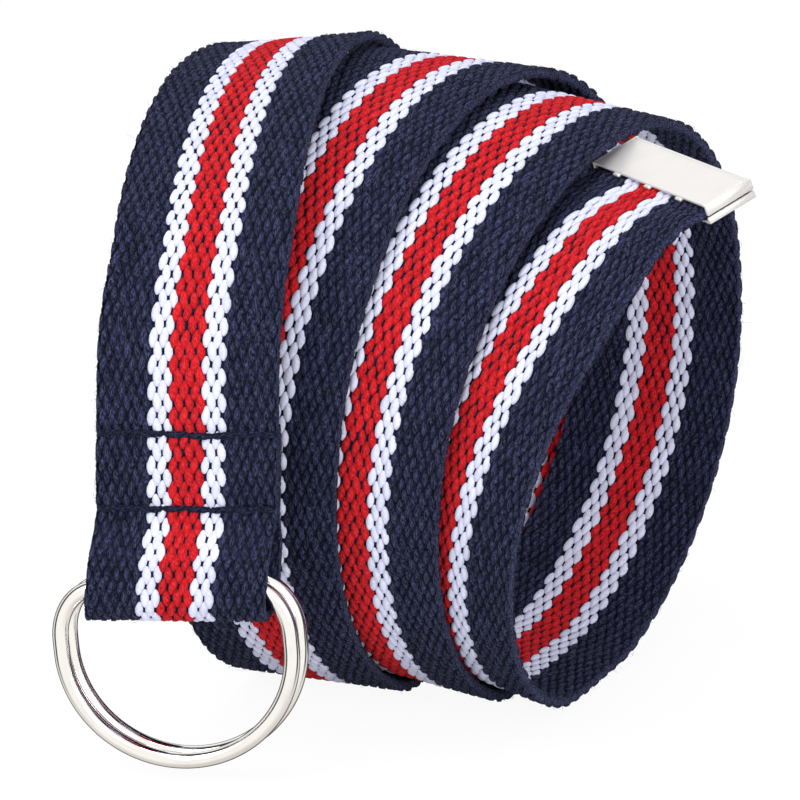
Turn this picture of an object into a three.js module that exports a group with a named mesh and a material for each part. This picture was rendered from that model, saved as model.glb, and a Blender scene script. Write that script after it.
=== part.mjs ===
// Double ring belt: a woven strap coiled on its side in three loose turns. Both D-rings hang in
// the fold sewn at its first end, and a thin metal cap closes its other end.
// Millimetres, +Z up. X runs along the coil's axis, and the rings hang on the -Y side. The origin is
// the middle of the belt's box, on the plane that the coil lies on.
import * as THREE from 'three';

// Strap
const beltWidth = 38;
const beltThickness = 2.6;
const coilRadius = 66;
const axisHeight = 65;
const layerGap = 0.3;

// Fold round the ring bars
const pocketLength = 24;
const seamSpacing = 15;
const tailPastSeam = 3;
const flareLength = 10;
const foldSlide = 1;
const seamTiltDeg = 4.3;
const foldLeanDeg = 2.5;

// Rings of bent round wire
const wireDiameter = 3.4;
const barClearance = 0.3;
const swingRoom = 0.95;
const barLift = 0.8;
const shoulderInset = 3.4;
const shoulderWidth = 8.5;
const shoulderDrop = 11;
const ringDrop = 37.8;
const frontRingShift = -2.6;
const backRingShift = -1.6;
const ringTiltDeg = 1.7;

// Metal cap over the free end
const capSheet = 0.6;
const capLength = 12;
const capClearance = 0.3;
const capLead = 3;

// Coil rows. turn: from the top of the first turn, one a revolution. radius: share of coilRadius,
// before each turn lies one thickness further in. along: share of beltWidth, along the axis.
// bank: roll of the width, degrees. lift: height of the middle of the strap over the ground where
// the turn rests, in thicknesses.
const coilRows = [
  { turn: -0.15, radius: 1.285, along: -0.24, bank: -6, lift: 0.5 },
  { turn: 0, radius: 1.06, along: -0.73, bank: 11, lift: 0.5 },
  { turn: 0.06, radius: 1.015, along: -0.84, bank: 7.5, lift: 0.5 },
  { turn: 0.25, radius: 1.03, along: -0.66, bank: 1, lift: 0.53 },
  { turn: 0.5, radius: 1.015, along: -0.22, bank: 0, lift: 0.53 },
  { turn: 0.75, radius: 1.063, along: 0.01, bank: -7.5, lift: 1 },
  { turn: 1, radius: 1.08, along: 0.18, bank: -1, lift: 1.4 },
  { turn: 1.25, radius: 1.038, along: 0.31, bank: 4, lift: 1.5 },
  { turn: 1.5, radius: 1.01, along: 0.38, bank: 6.5, lift: 1.5 },
  { turn: 1.75, radius: 1.008, along: 0.57, bank: -2.5, lift: 1.7 },
  { turn: 2, radius: 1.03, along: 0.925, bank: -6.5, lift: 2 },
  { turn: 2.25, radius: 1.026, along: 0.885, bank: 0.5, lift: 2.1 },
  { turn: 2.5, radius: 1.02, along: 0.755, bank: 8, lift: 2.1 },
  { turn: 2.75, radius: 0.976, along: 1.085, bank: 12.5, lift: 2.1 },
  { turn: 2.88, radius: 0.98, along: 1.5, bank: 8, lift: 2.1 },
  { turn: 2.915, radius: 0.978, along: 1.6, bank: 9.5, lift: 2.1 },
  { turn: 2.94, radius: 0.975, along: 1.72, bank: 11, lift: 2.1 },
];

// Hanging rows, from the lower seam up to the coil. height: over the axis, share of coilRadius.
// forward: before the axis, share of coilRadius. along: share of beltWidth. facing: how far the
// strap turns from the axis' square, degrees.
const hangRows = [
  { height: -0.09, forward: 1.29, along: -0.135, facing: 17 },
  { height: 0.18, forward: 1.285, along: -0.13, facing: 15 },
  { height: 0.46, forward: 1.23, along: -0.165, facing: 10 },
];

// Faceting
const stepsPerTurn = 60;
const hangSteps = 12;
const foldSteps = 10;
const wireSides = 10;
const settleSoftness = 0.8;
const edgeRound = 0.8;

const pocketHalfDepth = wireDiameter + barClearance / 2 + swingRoom;
const foldRadius = pocketHalfDepth + beltThickness / 2;
const layerPitch = beltThickness + layerGap;
const barOffset = (wireDiameter + barClearance) / 2;
const bendDepth = pocketLength - foldRadius - beltThickness / 2;

const radians = THREE.MathUtils.degToRad;

// Smooth curve through rows: cubic pieces whose slopes follow the rows on both sides.
function throughRows(knots, values, at) {
  const last = knots.length - 1;
  const slope = (i) => (values[i + 1] - values[i]) / (knots[i + 1] - knots[i]);
  const inner = (i) => {
    const before = knots[i] - knots[i - 1];
    const after = knots[i + 1] - knots[i];
    return (slope(i - 1) * after + slope(i) * before) / (before + after);
  };
  const tangent = (i) => {
    if (i === 0) return 1.5 * slope(0) - 0.5 * inner(1);
    if (i === last) return 1.5 * slope(last - 1) - 0.5 * inner(last - 1);
    return inner(i);
  };
  let i = 0;
  while (i < last - 1 && at >= knots[i + 1]) i += 1;
  const span = knots[i + 1] - knots[i];
  const s = (at - knots[i]) / span;
  return (2 * s ** 3 - 3 * s ** 2 + 1) * values[i]
    + (s ** 3 - 2 * s ** 2 + s) * span * tangent(i)
    + (3 * s ** 2 - 2 * s ** 3) * values[i + 1]
    + (s ** 3 - s ** 2) * span * tangent(i + 1);
}

function coilRow(turn) {
  const knots = coilRows.map((row) => row.turn);
  const column = (name) => throughRows(knots, coilRows.map((row) => row[name]), turn);
  return {
    radius: column('radius') * coilRadius - turn * beltThickness,
    along: column('along') * beltWidth,
    bank: column('bank'),
    lift: column('lift') * beltThickness,
  };
}

// A point of the coil's middle line. Where a turn rests it is pressed flat against its support.
function coilStation(turn) {
  const row = coilRow(turn);
  const angle = 2 * Math.PI * turn;
  let height = axisHeight + row.radius * Math.cos(angle);
  if (Math.cos(angle) < 0) {
    const above = (height - row.lift) / settleSoftness;
    height = row.lift + settleSoftness * (above > 30 ? above : Math.log1p(Math.exp(above)));
  }
  const point = new THREE.Vector3(row.along, row.radius * Math.sin(angle), height);
  return { point, bank: row.bank, facing: 0, tilt: 0 };
}

// The coil, then the straight stretch that the metal cap keeps flat.
function coilStations() {
  const first = coilRows[0].turn;
  const end = coilRows[coilRows.length - 1].turn;
  const count = Math.round((end - first) * stepsPerTurn);
  const turns = Array.from({ length: count + 1 }, (_, i) => first + (i * (end - first)) / count);
  const stations = turns.map(coilStation);
  const last = stations[count];
  const heading = last.point.clone().sub(stations[count - 1].point).normalize();
  const covered = capLength - capSheet - capClearance;
  for (const run of [capLead / 2, capLead, capLead + covered / 2, capLead + covered]) {
    const point = last.point.clone().addScaledVector(heading, run);
    stations.push({ ...last, point });
  }
  return stations;
}

// The hanging stretch, from the lower seam up to the first point of the coil.
function hangStations(coil) {
  const rows = hangRows.map((row) => ({
    point: new THREE.Vector3(
      row.along * beltWidth,
      -row.forward * coilRadius,
      axisHeight + row.height * coilRadius,
    ),
    facing: row.facing,
  }));
  const knotted = [...rows, coil[0], coil[1]];
  const knots = [0];
  for (let i = 1; i < knotted.length; i += 1) {
    knots.push(knots[i - 1] + knotted[i].point.distanceTo(knotted[i - 1].point));
  }
  const column = (pick, at) => throughRows(knots, knotted.map(pick), at);
  const reach = knots[rows.length];
  return Array.from({ length: hangSteps }, (_, i) => {
    const at = (i * reach) / hangSteps;
    return {
      point: new THREE.Vector3(
        column((row) => row.point.x, at),
        column((row) => row.point.y, at),
        column((row) => row.point.z, at),
      ),
      bank: (coil[0].bank * at) / reach,
      facing: column((row) => row.facing, at),
      tilt: seamTiltDeg * (1 - at / reach),
    };
  });
}

// Gives each station its tangent, its width and its outer normal. A tilt turns the width in the
// plane of the cloth, where the weave is pulled askew.
function withFrames(stations) {
  return stations.map((station, i) => {
    const before = stations[Math.max(i - 1, 0)].point;
    const after = stations[Math.min(i + 1, stations.length - 1)].point;
    const tangent = after.clone().sub(before).normalize();
    const facing = radians(station.facing);
    const width = new THREE.Vector3(Math.cos(facing), Math.sin(facing), 0);
    width.addScaledVector(tangent, -width.dot(tangent)).normalize();
    const normal = new THREE.Vector3().crossVectors(width, tangent);
    const tilt = radians(station.tilt);
    width.multiplyScalar(Math.cos(tilt)).addScaledVector(tangent, Math.sin(tilt));
    const roll = radians(station.bank);
    return {
      point: station.point,
      tangent,
      width: width.clone().multiplyScalar(Math.cos(roll)).addScaledVector(normal, Math.sin(roll)),
      normal: normal.clone().multiplyScalar(Math.cos(roll)).addScaledVector(width, -Math.sin(roll)),
    };
  });
}

// The fold's own axes at the lower seam: down along the strap, across it and out to its front.
function pocketFrame(main) {
  const seam = main[0];
  const lean = radians(foldLeanDeg);
  const down = seam.tangent.clone().multiplyScalar(-Math.cos(lean))
    .addScaledVector(seam.width, -Math.sin(lean));
  const centre = seam.point.clone().addScaledVector(seam.normal, -layerPitch / 2);
  return { centre, down, across: seam.width, out: seam.normal };
}

// A station of the fold at a depth below the seam and an offset out of its middle plane. Its front
// slides along the bars as it goes down.
function pocketStation(pocket, depth, offset, heading) {
  const front = (1 + Math.cos(heading)) / 2;
  const point = pocket.centre.clone()
    .addScaledVector(pocket.down, depth)
    .addScaledVector(pocket.out, offset)
    .addScaledVector(pocket.across, (-foldSlide * front * depth) / pocketLength);
  const normal = pocket.out.clone().multiplyScalar(Math.cos(heading))
    .addScaledVector(pocket.down, Math.sin(heading));
  return { point, width: pocket.across, normal };
}

// From the tail's end, down its back layer and round the bars to the seam.
function foldStations(pocket) {
  const stations = [];
  const flare = foldRadius - layerPitch / 2;
  const flareEnd = Math.min(flareLength, bendDepth);
  const wall = (share) => ({
    depth: share * flareEnd,
    offset: layerPitch / 2 + (flare * (1 - Math.cos(Math.PI * share))) / 2,
    slope: Math.atan((flare * Math.PI * Math.sin(Math.PI * share)) / (2 * flareEnd)),
  });
  const shares = [0.2, 0.4, 0.6, 0.8, 1];
  for (const share of shares) {
    const row = wall(share);
    stations.push(pocketStation(pocket, row.depth, -row.offset, Math.PI - row.slope));
  }
  for (let i = 0; i <= foldSteps; i += 1) {
    const turn = Math.PI - (i * Math.PI) / foldSteps;
    const depth = bendDepth + foldRadius * Math.sin(turn);
    stations.push(pocketStation(pocket, depth, foldRadius * Math.cos(turn), turn));
  }
  for (const share of [...shares].reverse()) {
    const row = wall(share);
    stations.push(pocketStation(pocket, row.depth, row.offset, row.slope));
  }
  return stations;
}

// The tail lies one layer behind the strap, from past the upper seam down to the lower one.
function tailStations(main) {
  const reach = seamSpacing + tailPastSeam;
  const stations = [];
  let run = 0;
  for (let i = 0; i < main.length && run < reach; i += 1) {
    const station = main[i];
    stations.push({
      point: station.point.clone().addScaledVector(station.normal, -layerPitch),
      width: station.width,
      normal: station.normal.clone().negate(),
    });
    run += main[i + 1].point.distanceTo(station.point);
  }
  return stations.reverse();
}

// Closed skin over a row of sections, each a list of points in the same order.
function skin(sections, looped) {
  const sides = sections[0].length;
  const positions = sections.flat().flatMap((point) => [point.x, point.y, point.z]);
  const index = [];
  const rows = looped ? sections.length : sections.length - 1;
  for (let i = 0; i < rows; i += 1) {
    for (let j = 0; j < sides; j += 1) {
      const a = i * sides + j;
      const b = i * sides + ((j + 1) % sides);
      const c = ((i + 1) % sections.length) * sides + j;
      const d = ((i + 1) % sections.length) * sides + ((j + 1) % sides);
      index.push(a, b, d, a, d, c);
    }
  }
  if (!looped) {
    const end = (sections.length - 1) * sides;
    for (let j = 1; j < sides - 1; j += 1) {
      index.push(0, j + 1, j);
      index.push(end, end + j, end + j + 1);
    }
  }
  const geometry = new THREE.BufferGeometry();
  geometry.setAttribute('position', new THREE.Float32BufferAttribute(positions, 3));
  geometry.setIndex(index);
  geometry.computeVertexNormals();
  return geometry;
}

// Offsets across the strap and out of it, round its section: flat faces with softened edges.
function strapOutline() {
  const half = beltWidth / 2;
  const face = beltThickness / 2;
  const corners = [
    [half - edgeRound, face],
    [half, face - edgeRound],
    [half, edgeRound - face],
    [half - edgeRound, -face],
  ];
  return [...corners, ...corners.map(([across, out]) => [-across, -out])];
}

function section(station, outline) {
  return outline.map(([across, out]) => station.point.clone()
    .addScaledVector(station.width, across)
    .addScaledVector(station.normal, out));
}

function buildStrap(main, pocket) {
  const stations = [...tailStations(main), ...foldStations(pocket), ...main];
  return skin(stations.map((station) => section(station, strapOutline())), false);
}

// Points of a ring's middle line in its own plane: across and down from the middle of its bar.
function ringLine() {
  const barHalf = beltWidth / 2 - shoulderInset;
  const bowRadius = barHalf + shoulderWidth;
  const bowDepth = ringDrop - bowRadius;
  const points = [];
  const barSteps = 4;
  for (let i = 0; i < barSteps; i += 1) {
    points.push([-barHalf + (2 * barHalf * i) / barSteps, 0]);
  }
  const shoulderSteps = 6;
  for (let i = 0; i < shoulderSteps; i += 1) {
    const turn = (i * Math.PI) / (2 * shoulderSteps);
    const across = barHalf + shoulderWidth * Math.sin(turn);
    points.push([across, Math.min(shoulderDrop, bowDepth) * (1 - Math.cos(turn))]);
  }
  const bowSteps = 26;
  for (let i = 0; i <= bowSteps; i += 1) {
    const turn = (i * Math.PI) / bowSteps;
    points.push([bowRadius * Math.cos(turn), bowDepth + bowRadius * Math.sin(turn)]);
  }
  for (let i = shoulderSteps - 1; i > 0; i -= 1) {
    const turn = (i * Math.PI) / (2 * shoulderSteps);
    const across = -barHalf - shoulderWidth * Math.sin(turn);
    points.push([across, Math.min(shoulderDrop, bowDepth) * (1 - Math.cos(turn))]);
  }
  return points;
}

// A ring hangs straight down from its bar, which lies in the fold beside the other ring's bar.
function buildRing(pocket, offset, shift) {
  const tilt = radians(ringTiltDeg);
  const across = pocket.across.clone().multiplyScalar(Math.cos(tilt))
    .addScaledVector(pocket.down, -Math.sin(tilt))
    .normalize();
  const hang = new THREE.Vector3(0, 0, -1);
  hang.addScaledVector(across, -hang.dot(across)).normalize();
  const square = new THREE.Vector3().crossVectors(across, hang).normalize();
  const bar = pocket.centre.clone()
    .addScaledVector(pocket.down, bendDepth - barLift)
    .addScaledVector(pocket.out, offset)
    .addScaledVector(pocket.across, shift);
  const line = ringLine().map(([side, drop]) => bar.clone()
    .addScaledVector(across, side)
    .addScaledVector(hang, drop));
  const sections = line.map((point, i) => {
    const before = line[(i + line.length - 1) % line.length];
    const after = line[(i + 1) % line.length];
    const tangent = after.clone().sub(before).normalize();
    const outward = new THREE.Vector3().crossVectors(tangent, square).normalize();
    return Array.from({ length: wireSides }, (_, j) => {
      const turn = (-2 * Math.PI * j) / wireSides;
      return point.clone()
        .addScaledVector(outward, (Math.cos(turn) * wireDiameter) / 2)
        .addScaledVector(square, (Math.sin(turn) * wireDiameter) / 2);
    });
  });
  return skin(sections, true);
}

// The cap is one folded sheet: a face on each side of the strap, closed past its end.
function buildCap(main) {
  const end = main[main.length - 1];
  const half = beltWidth / 2 + capClearance;
  const inner = beltThickness / 2 + capClearance;
  const outer = inner + capSheet;
  const mouth = capClearance + capSheet - capLength;
  const at = (run, across, out) => end.point.clone()
    .addScaledVector(end.tangent, run)
    .addScaledVector(end.width, across)
    .addScaledVector(end.normal, out);
  const profile = [
    [mouth, outer],
    [capClearance + capSheet, outer],
    [capClearance + capSheet, -outer],
    [mouth, -outer],
    [mouth, -inner],
    [capClearance, -inner],
    [capClearance, inner],
    [mouth, inner],
  ];
  const positions = [];
  for (const across of [-half, half]) {
    for (const [run, out] of profile) {
      const point = at(run, across, out);
      positions.push(point.x, point.y, point.z);
    }
  }
  const count = profile.length;
  const index = [];
  for (let j = 0; j < count; j += 1) {
    const next = (j + 1) % count;
    index.push(j, next + count, next, j, j + count, next + count);
  }
  const lid = [[0, 1, 6], [0, 6, 7], [1, 2, 5], [1, 5, 6], [2, 3, 4], [2, 4, 5]];
  for (const [a, b, c] of lid) {
    index.push(a, b, c);
    index.push(a + count, c + count, b + count);
  }
  const geometry = new THREE.BufferGeometry();
  geometry.setAttribute('position', new THREE.Float32BufferAttribute(positions, 3));
  geometry.setIndex(index);
  geometry.computeVertexNormals();
  return geometry;
}

const webbing = new THREE.MeshStandardMaterial({ color: 0x23284b, roughness: 0.95, metalness: 0 });
const nickel = new THREE.MeshStandardMaterial({ color: 0xd8d6d2, roughness: 0.12, metalness: 1 });
const cap = new THREE.MeshStandardMaterial({ color: 0xdeddd8, roughness: 0.25, metalness: 1 });

function named(name, geometry, material) {
  const mesh = new THREE.Mesh(geometry, material);
  mesh.name = name;
  return mesh;
}

function buildBelt() {
  const coil = coilStations();
  const main = withFrames([...hangStations(coil), ...coil]);
  const pocket = pocketFrame(main);
  const belt = new THREE.Group();
  belt.add(
    named('strap', buildStrap(main, pocket), webbing),
    named('ring_front', buildRing(pocket, barOffset, frontRingShift), nickel),
    named('ring_back', buildRing(pocket, -barOffset, backRingShift), nickel),
    named('tip', buildCap(main), cap),
  );
  const box = new THREE.Box3().setFromObject(belt);
  const middle = box.getCenter(new THREE.Vector3());
  belt.position.set(-middle.x, -middle.y, -box.min.z);
  return belt;
}

export default buildBelt();
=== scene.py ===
"""Double ring belt: a striped woven strap coiled on its side, two D-rings in its sewn fold, a capped end."""

import logging
import math
from dataclasses import dataclass, field
from enum import Enum
from typing import Sequence

import bpy
import numpy as np
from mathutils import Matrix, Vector


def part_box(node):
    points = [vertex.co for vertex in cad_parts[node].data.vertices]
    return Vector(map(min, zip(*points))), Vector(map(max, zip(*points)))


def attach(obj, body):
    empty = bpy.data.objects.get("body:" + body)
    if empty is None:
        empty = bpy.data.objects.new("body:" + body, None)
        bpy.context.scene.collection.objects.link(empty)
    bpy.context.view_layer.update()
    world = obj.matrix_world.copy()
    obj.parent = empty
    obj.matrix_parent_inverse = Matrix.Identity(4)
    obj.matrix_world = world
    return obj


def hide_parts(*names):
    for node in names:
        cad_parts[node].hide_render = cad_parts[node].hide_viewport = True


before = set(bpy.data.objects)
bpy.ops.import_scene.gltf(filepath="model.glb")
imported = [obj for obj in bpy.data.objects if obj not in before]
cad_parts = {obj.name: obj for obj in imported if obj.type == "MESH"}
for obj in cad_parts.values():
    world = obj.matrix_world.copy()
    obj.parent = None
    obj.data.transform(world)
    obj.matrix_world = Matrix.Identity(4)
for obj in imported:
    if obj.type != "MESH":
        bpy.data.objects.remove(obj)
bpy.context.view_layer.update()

LOG = logging.getLogger("belt")
MM = 0.001


class Yarn(Enum):
    """The colours of yarn in the cloth."""

    NAVY = "navy"
    WHITE = "white"
    RED = "red"


class Face(Enum):
    """The two faces of the strap, as the sign of the height over its middle plane."""

    OUTER = 1.0
    INNER = -1.0


def unit(vectors: np.ndarray) -> np.ndarray:
    """Scales vectors to length one.

    Args:
        vectors: One vector, or a row for each vector.

    Returns:
        The unit vectors, in the same layout.
    """
    return vectors / np.linalg.norm(vectors, axis=-1, keepdims=True)


def through_rows(knots: np.ndarray, values: np.ndarray, at: np.ndarray) -> np.ndarray:
    """Runs a smooth curve through rows, with slopes that follow the rows on both sides.

    Args:
        knots: Where the rows lie.
        values: A row of values for each knot.
        at: Where the curve is wanted.

    Returns:
        A row of values for each place in at.
    """
    spans = np.diff(knots)[:, None]
    slopes = np.diff(values, axis=0) / spans
    tangents = np.zeros_like(values)
    tangents[1:-1] = (slopes[:-1] * spans[1:] + slopes[1:] * spans[:-1]) / (spans[1:] + spans[:-1])
    tangents[0] = 1.5 * slopes[0] - 0.5 * tangents[1]
    tangents[-1] = 1.5 * slopes[-1] - 0.5 * tangents[-2]
    piece = np.clip(np.searchsorted(knots, at, side="right") - 1, 0, len(knots) - 2)
    span = spans[piece]
    s = ((at - knots[piece]) / span[:, 0])[:, None]
    return (
        (2 * s**3 - 3 * s**2 + 1) * values[piece]
        + (s**3 - 2 * s**2 + s) * span * tangents[piece]
        + (3 * s**2 - 2 * s**3) * values[piece + 1]
        + (s**3 - s**2) * span * tangents[piece + 1]
    )


def mesh_object(
    name: str,
    points: np.ndarray,
    faces: Sequence[np.ndarray],
    material: bpy.types.Material,
    yarn: np.ndarray | None = None,
    shade: np.ndarray | None = None,
) -> bpy.types.Object:
    """Makes a smooth mesh object from arrays.

    Args:
        name: The object's name.
        points: A row of three metres for each vertex.
        faces: Arrays of vertex indices, each with a row for a face.
        material: The finish.
        yarn: Places on the yarn for each vertex, in millimetres along and round it.
        shade: A brightness for each vertex, which on the loops holds painted shade at their rims as well as random
            tone.

    Returns:
        The object, in the scene.
    """
    mesh = bpy.data.meshes.new(name)
    loops = np.concatenate([block.ravel() for block in faces]).astype(np.int32)
    totals = np.concatenate([np.full(len(block), block.shape[1]) for block in faces]).astype(np.int32)
    starts = np.concatenate([[0], np.cumsum(totals)[:-1]]).astype(np.int32)
    mesh.vertices.add(len(points))
    mesh.vertices.foreach_set("co", np.ascontiguousarray(points, dtype=np.float32).ravel())
    mesh.loops.add(len(loops))
    mesh.loops.foreach_set("vertex_index", loops)
    mesh.polygons.add(len(totals))
    mesh.polygons.foreach_set("loop_start", starts)
    mesh.polygons.foreach_set("loop_total", totals)
    mesh.polygons.foreach_set("use_smooth", np.ones(len(totals), dtype=bool))
    mesh.update(calc_edges=True)
    if yarn is not None:
        layer = mesh.uv_layers.new(name="yarn")
        layer.data.foreach_set("uv", yarn[loops].astype(np.float32).ravel())
    if shade is not None:
        attribute = mesh.attributes.new("shade", "FLOAT", "POINT")
        attribute.data.foreach_set("value", shade.astype(np.float32))
    mesh.materials.append(material)
    mesh.validate()
    thing = bpy.data.objects.new(name, mesh)
    bpy.context.scene.collection.objects.link(thing)
    return thing


def grid_faces(rows: int, columns: int, loop_rows: bool, loop_columns: bool) -> np.ndarray:
    """Quads over a grid of vertices, which may close on itself either way.

    Args:
        rows: How many rows of vertices.
        columns: How many vertices in a row.
        loop_rows: Whether the last row joins the first.
        loop_columns: Whether the end of a row joins its start.

    Returns:
        A row of four vertex indices for each quad.
    """
    i, j = np.meshgrid(
        np.arange(rows if loop_rows else rows - 1),
        np.arange(columns if loop_columns else columns - 1),
        indexing="ij",
    )
    i, j = i.ravel(), j.ravel()
    after, beside = (i + 1) % rows, (j + 1) % columns
    return np.stack(
        [i * columns + j, i * columns + beside, after * columns + beside, after * columns + j], axis=1
    )


@dataclass(frozen=True)
class Ribbon:
    """A dense line along the strap with its width and its outer normal, from the tail to the cap.

    Attributes:
        points: Places on the strap's middle line.
        widths: The strap's width at each place, a unit vector.
        normals: The outer normal at each place.
        distances: The distance along the strap to each place.
        seams: The distances where the rows of stitches cross the strap, tail first.
        stitch_pull: How far a row of stitches pulls the outer face in.
        stitch_reach: How far along the strap the pull is felt.
    """

    points: np.ndarray
    widths: np.ndarray
    normals: np.ndarray
    distances: np.ndarray
    seams: tuple[float, ...]
    stitch_pull: float = 0.68 * MM
    stitch_reach: float = 1.0 * MM

    @property
    def length(self) -> float:
        """The strap's length."""
        return float(self.distances[-1])

    def in_fold(self, along: np.ndarray) -> np.ndarray:
        """Whether distances along the strap lie in the fold, between its lower seams."""
        return (along > self.seams[1]) & (along < self.seams[2])

    def sample(self, along: np.ndarray) -> tuple[np.ndarray, np.ndarray, np.ndarray]:
        """The middle line, width and normal at distances along the strap.

        Args:
            along: Distances from the tail's end.

        Returns:
            Points, widths and normals, a row for each distance.
        """
        values = [
            np.stack([np.interp(along, self.distances, column[:, k]) for k in range(3)], axis=-1)
            for column in (self.points, self.widths, self.normals)
        ]
        return values[0], unit(values[1]), unit(values[2])

    def place(self, along: np.ndarray, across: np.ndarray, height: np.ndarray) -> np.ndarray:
        """Points in the strap's own measure.

        Args:
            along: Distance from the tail's end.
            across: Distance across from the middle line.
            height: Height over the middle plane, positive on the outer face.

        Returns:
            The points in the scene.
        """
        shape = np.broadcast(along, across, height).shape
        along, across, height = (np.broadcast_to(v, shape).ravel() for v in (along, across, height))
        pull = sum(np.exp(-(((along - seam) / self.stitch_reach) ** 2)) for seam in self.seams)
        height = np.where(height > 0, height - self.stitch_pull * pull, height)
        middle, width, normal = self.sample(along)
        return (middle + width * across[:, None] + normal * height[:, None]).reshape(*shape, 3)


@dataclass(frozen=True)
class FoldFrame:
    """The axes of the sewn fold at its lower seam.

    Attributes:
        centre: The middle of the seam, between the two layers.
        down: Along the strap, towards the rings.
        across: Along the ring bars.
        out: Towards the front of the fold.
    """

    centre: np.ndarray
    down: np.ndarray
    across: np.ndarray
    out: np.ndarray


@dataclass
class StrapRoute:
    """How the strap lies: its fold and hanging stretch, then three loose turns.

    The rows are those of the solid model: turn from the top of the first turn, radius as a share of
    the coil's, along the axis as a share of the width, bank in degrees and lift in thicknesses.
    """

    width: float = 38 * MM
    thickness: float = 2.6 * MM
    coil_radius: float = 66 * MM
    axis_height: float = 65 * MM
    layer_gap: float = 0.3 * MM
    pocket_length: float = 24 * MM
    seam_spacing: float = 15 * MM
    tail_past_seam: float = 3 * MM
    flare_length: float = 10 * MM
    fold_slide: float = 1 * MM
    seam_tilt: float = 4.3
    fold_lean: float = 2.5
    stitch_rise: float = 1.1 * MM
    stitch_rows: float = 15.8 * MM
    wire_diameter: float = 3.4 * MM
    bar_clearance: float = 0.3 * MM
    swing_room: float = 0.95 * MM
    cap_covered: float = 11.1 * MM
    cap_lead: float = 3 * MM
    settle_softness: float = 0.8 * MM
    edge_round: float = 0.8 * MM
    model_steps: int = 60
    hang_steps: int = 12
    fineness: int = 5
    coil_rows: np.ndarray = field(
        default_factory=lambda: np.array(
            [
                (-0.15, 1.285, -0.24, -6, 0.5),
                (0, 1.06, -0.73, 11, 0.5),
                (0.06, 1.015, -0.84, 7.5, 0.5),
                (0.25, 1.03, -0.66, 1, 0.53),
                (0.5, 1.015, -0.22, 0, 0.53),
                (0.75, 1.063, 0.01, -7.5, 1),
                (1, 1.08, 0.18, -1, 1.4),
                (1.25, 1.038, 0.31, 4, 1.5),
                (1.5, 1.01, 0.38, 6.5, 1.5),
                (1.75, 1.008, 0.57, -2.5, 1.7),
                (2, 1.03, 0.925, -6.5, 2),
                (2.25, 1.026, 0.885, 0.5, 2.1),
                (2.5, 1.02, 0.755, 8, 2.1),
                (2.75, 0.976, 1.085, 12.5, 2.1),
                (2.88, 0.98, 1.5, 8, 2.1),
                (2.915, 0.978, 1.6, 9.5, 2.1),
                (2.94, 0.975, 1.72, 11, 2.1),
            ]
        )
    )
    hang_rows: np.ndarray = field(
        default_factory=lambda: np.array(
            [
                (-0.09, 1.29, -0.135, 17),
                (0.18, 1.285, -0.13, 15),
                (0.46, 1.23, -0.165, 10),
            ]
        )
    )

    @property
    def layer_pitch(self) -> float:
        """Distance between the middle planes of two layers sewn together."""
        return self.thickness + self.layer_gap

    @property
    def fold_radius(self) -> float:
        """Radius of the fold's bend at its middle plane."""
        return self.wire_diameter + self.bar_clearance / 2 + self.swing_room + self.thickness / 2

    @property
    def bend_depth(self) -> float:
        """Depth of the bend's centre below the lower seam."""
        return self.pocket_length - self.fold_radius - self.thickness / 2

    @property
    def bar_offset(self) -> float:
        """Distance of each ring's bar from the fold's middle plane."""
        return (self.wire_diameter + self.bar_clearance) / 2

    def coil(self, fineness: int) -> tuple[np.ndarray, np.ndarray]:
        """The coil's middle line and the straight stretch inside the cap.

        Args:
            fineness: Steps for each step of the solid model.

        Returns:
            Points, and the bank at each in degrees.
        """
        knots = self.coil_rows[:, 0]
        count = round((knots[-1] - knots[0]) * self.model_steps) * fineness
        turns = np.linspace(knots[0], knots[-1], count + 1)
        radius, along, bank, lift = through_rows(knots, self.coil_rows[:, 1:], turns).T
        radius = radius * self.coil_radius - turns * self.thickness
        angle = 2 * np.pi * turns
        height = self.axis_height + radius * np.cos(angle)
        rest = lift * self.thickness
        settled = rest + self.settle_softness * np.logaddexp(0, (height - rest) / self.settle_softness)
        height = np.where(np.cos(angle) < 0, settled, height)
        points = np.stack([along * self.width, radius * np.sin(angle), height], axis=1)
        heading = unit(points[-1] - points[-1 - fineness])
        runs = np.linspace(0, self.cap_lead + self.cap_covered, 4 * fineness + 1)[1:]
        straight = points[-1] + heading * runs[:, None]
        return np.concatenate([points, straight]), np.concatenate([bank, np.full(len(runs), bank[-1])])

    def hang(self, fineness: int) -> tuple[np.ndarray, np.ndarray, np.ndarray, np.ndarray]:
        """The hanging stretch, from the lower seam up to the coil.

        Args:
            fineness: Steps for each step of the solid model.

        Returns:
            Points, then bank, facing and tilt at each, in degrees.
        """
        coil, bank = self.coil(1)
        height, forward, along, facing = self.hang_rows.T
        rows = np.stack(
            [
                along * self.width,
                -forward * self.coil_radius,
                self.axis_height + height * self.coil_radius,
                facing,
            ],
            axis=1,
        )
        ends = np.concatenate([coil[:2], np.zeros((2, 1))], axis=1)
        rows = np.concatenate([rows, ends])
        knots = np.concatenate([[0], np.cumsum(np.linalg.norm(np.diff(rows[:, :3], axis=0), axis=1))])
        reach = knots[len(self.hang_rows)]
        share = np.arange(self.hang_steps * fineness) / (self.hang_steps * fineness)
        values = through_rows(knots, rows, share * reach)
        return values[:, :3], bank[0] * share, values[:, 3], self.seam_tilt * (1 - share)

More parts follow.
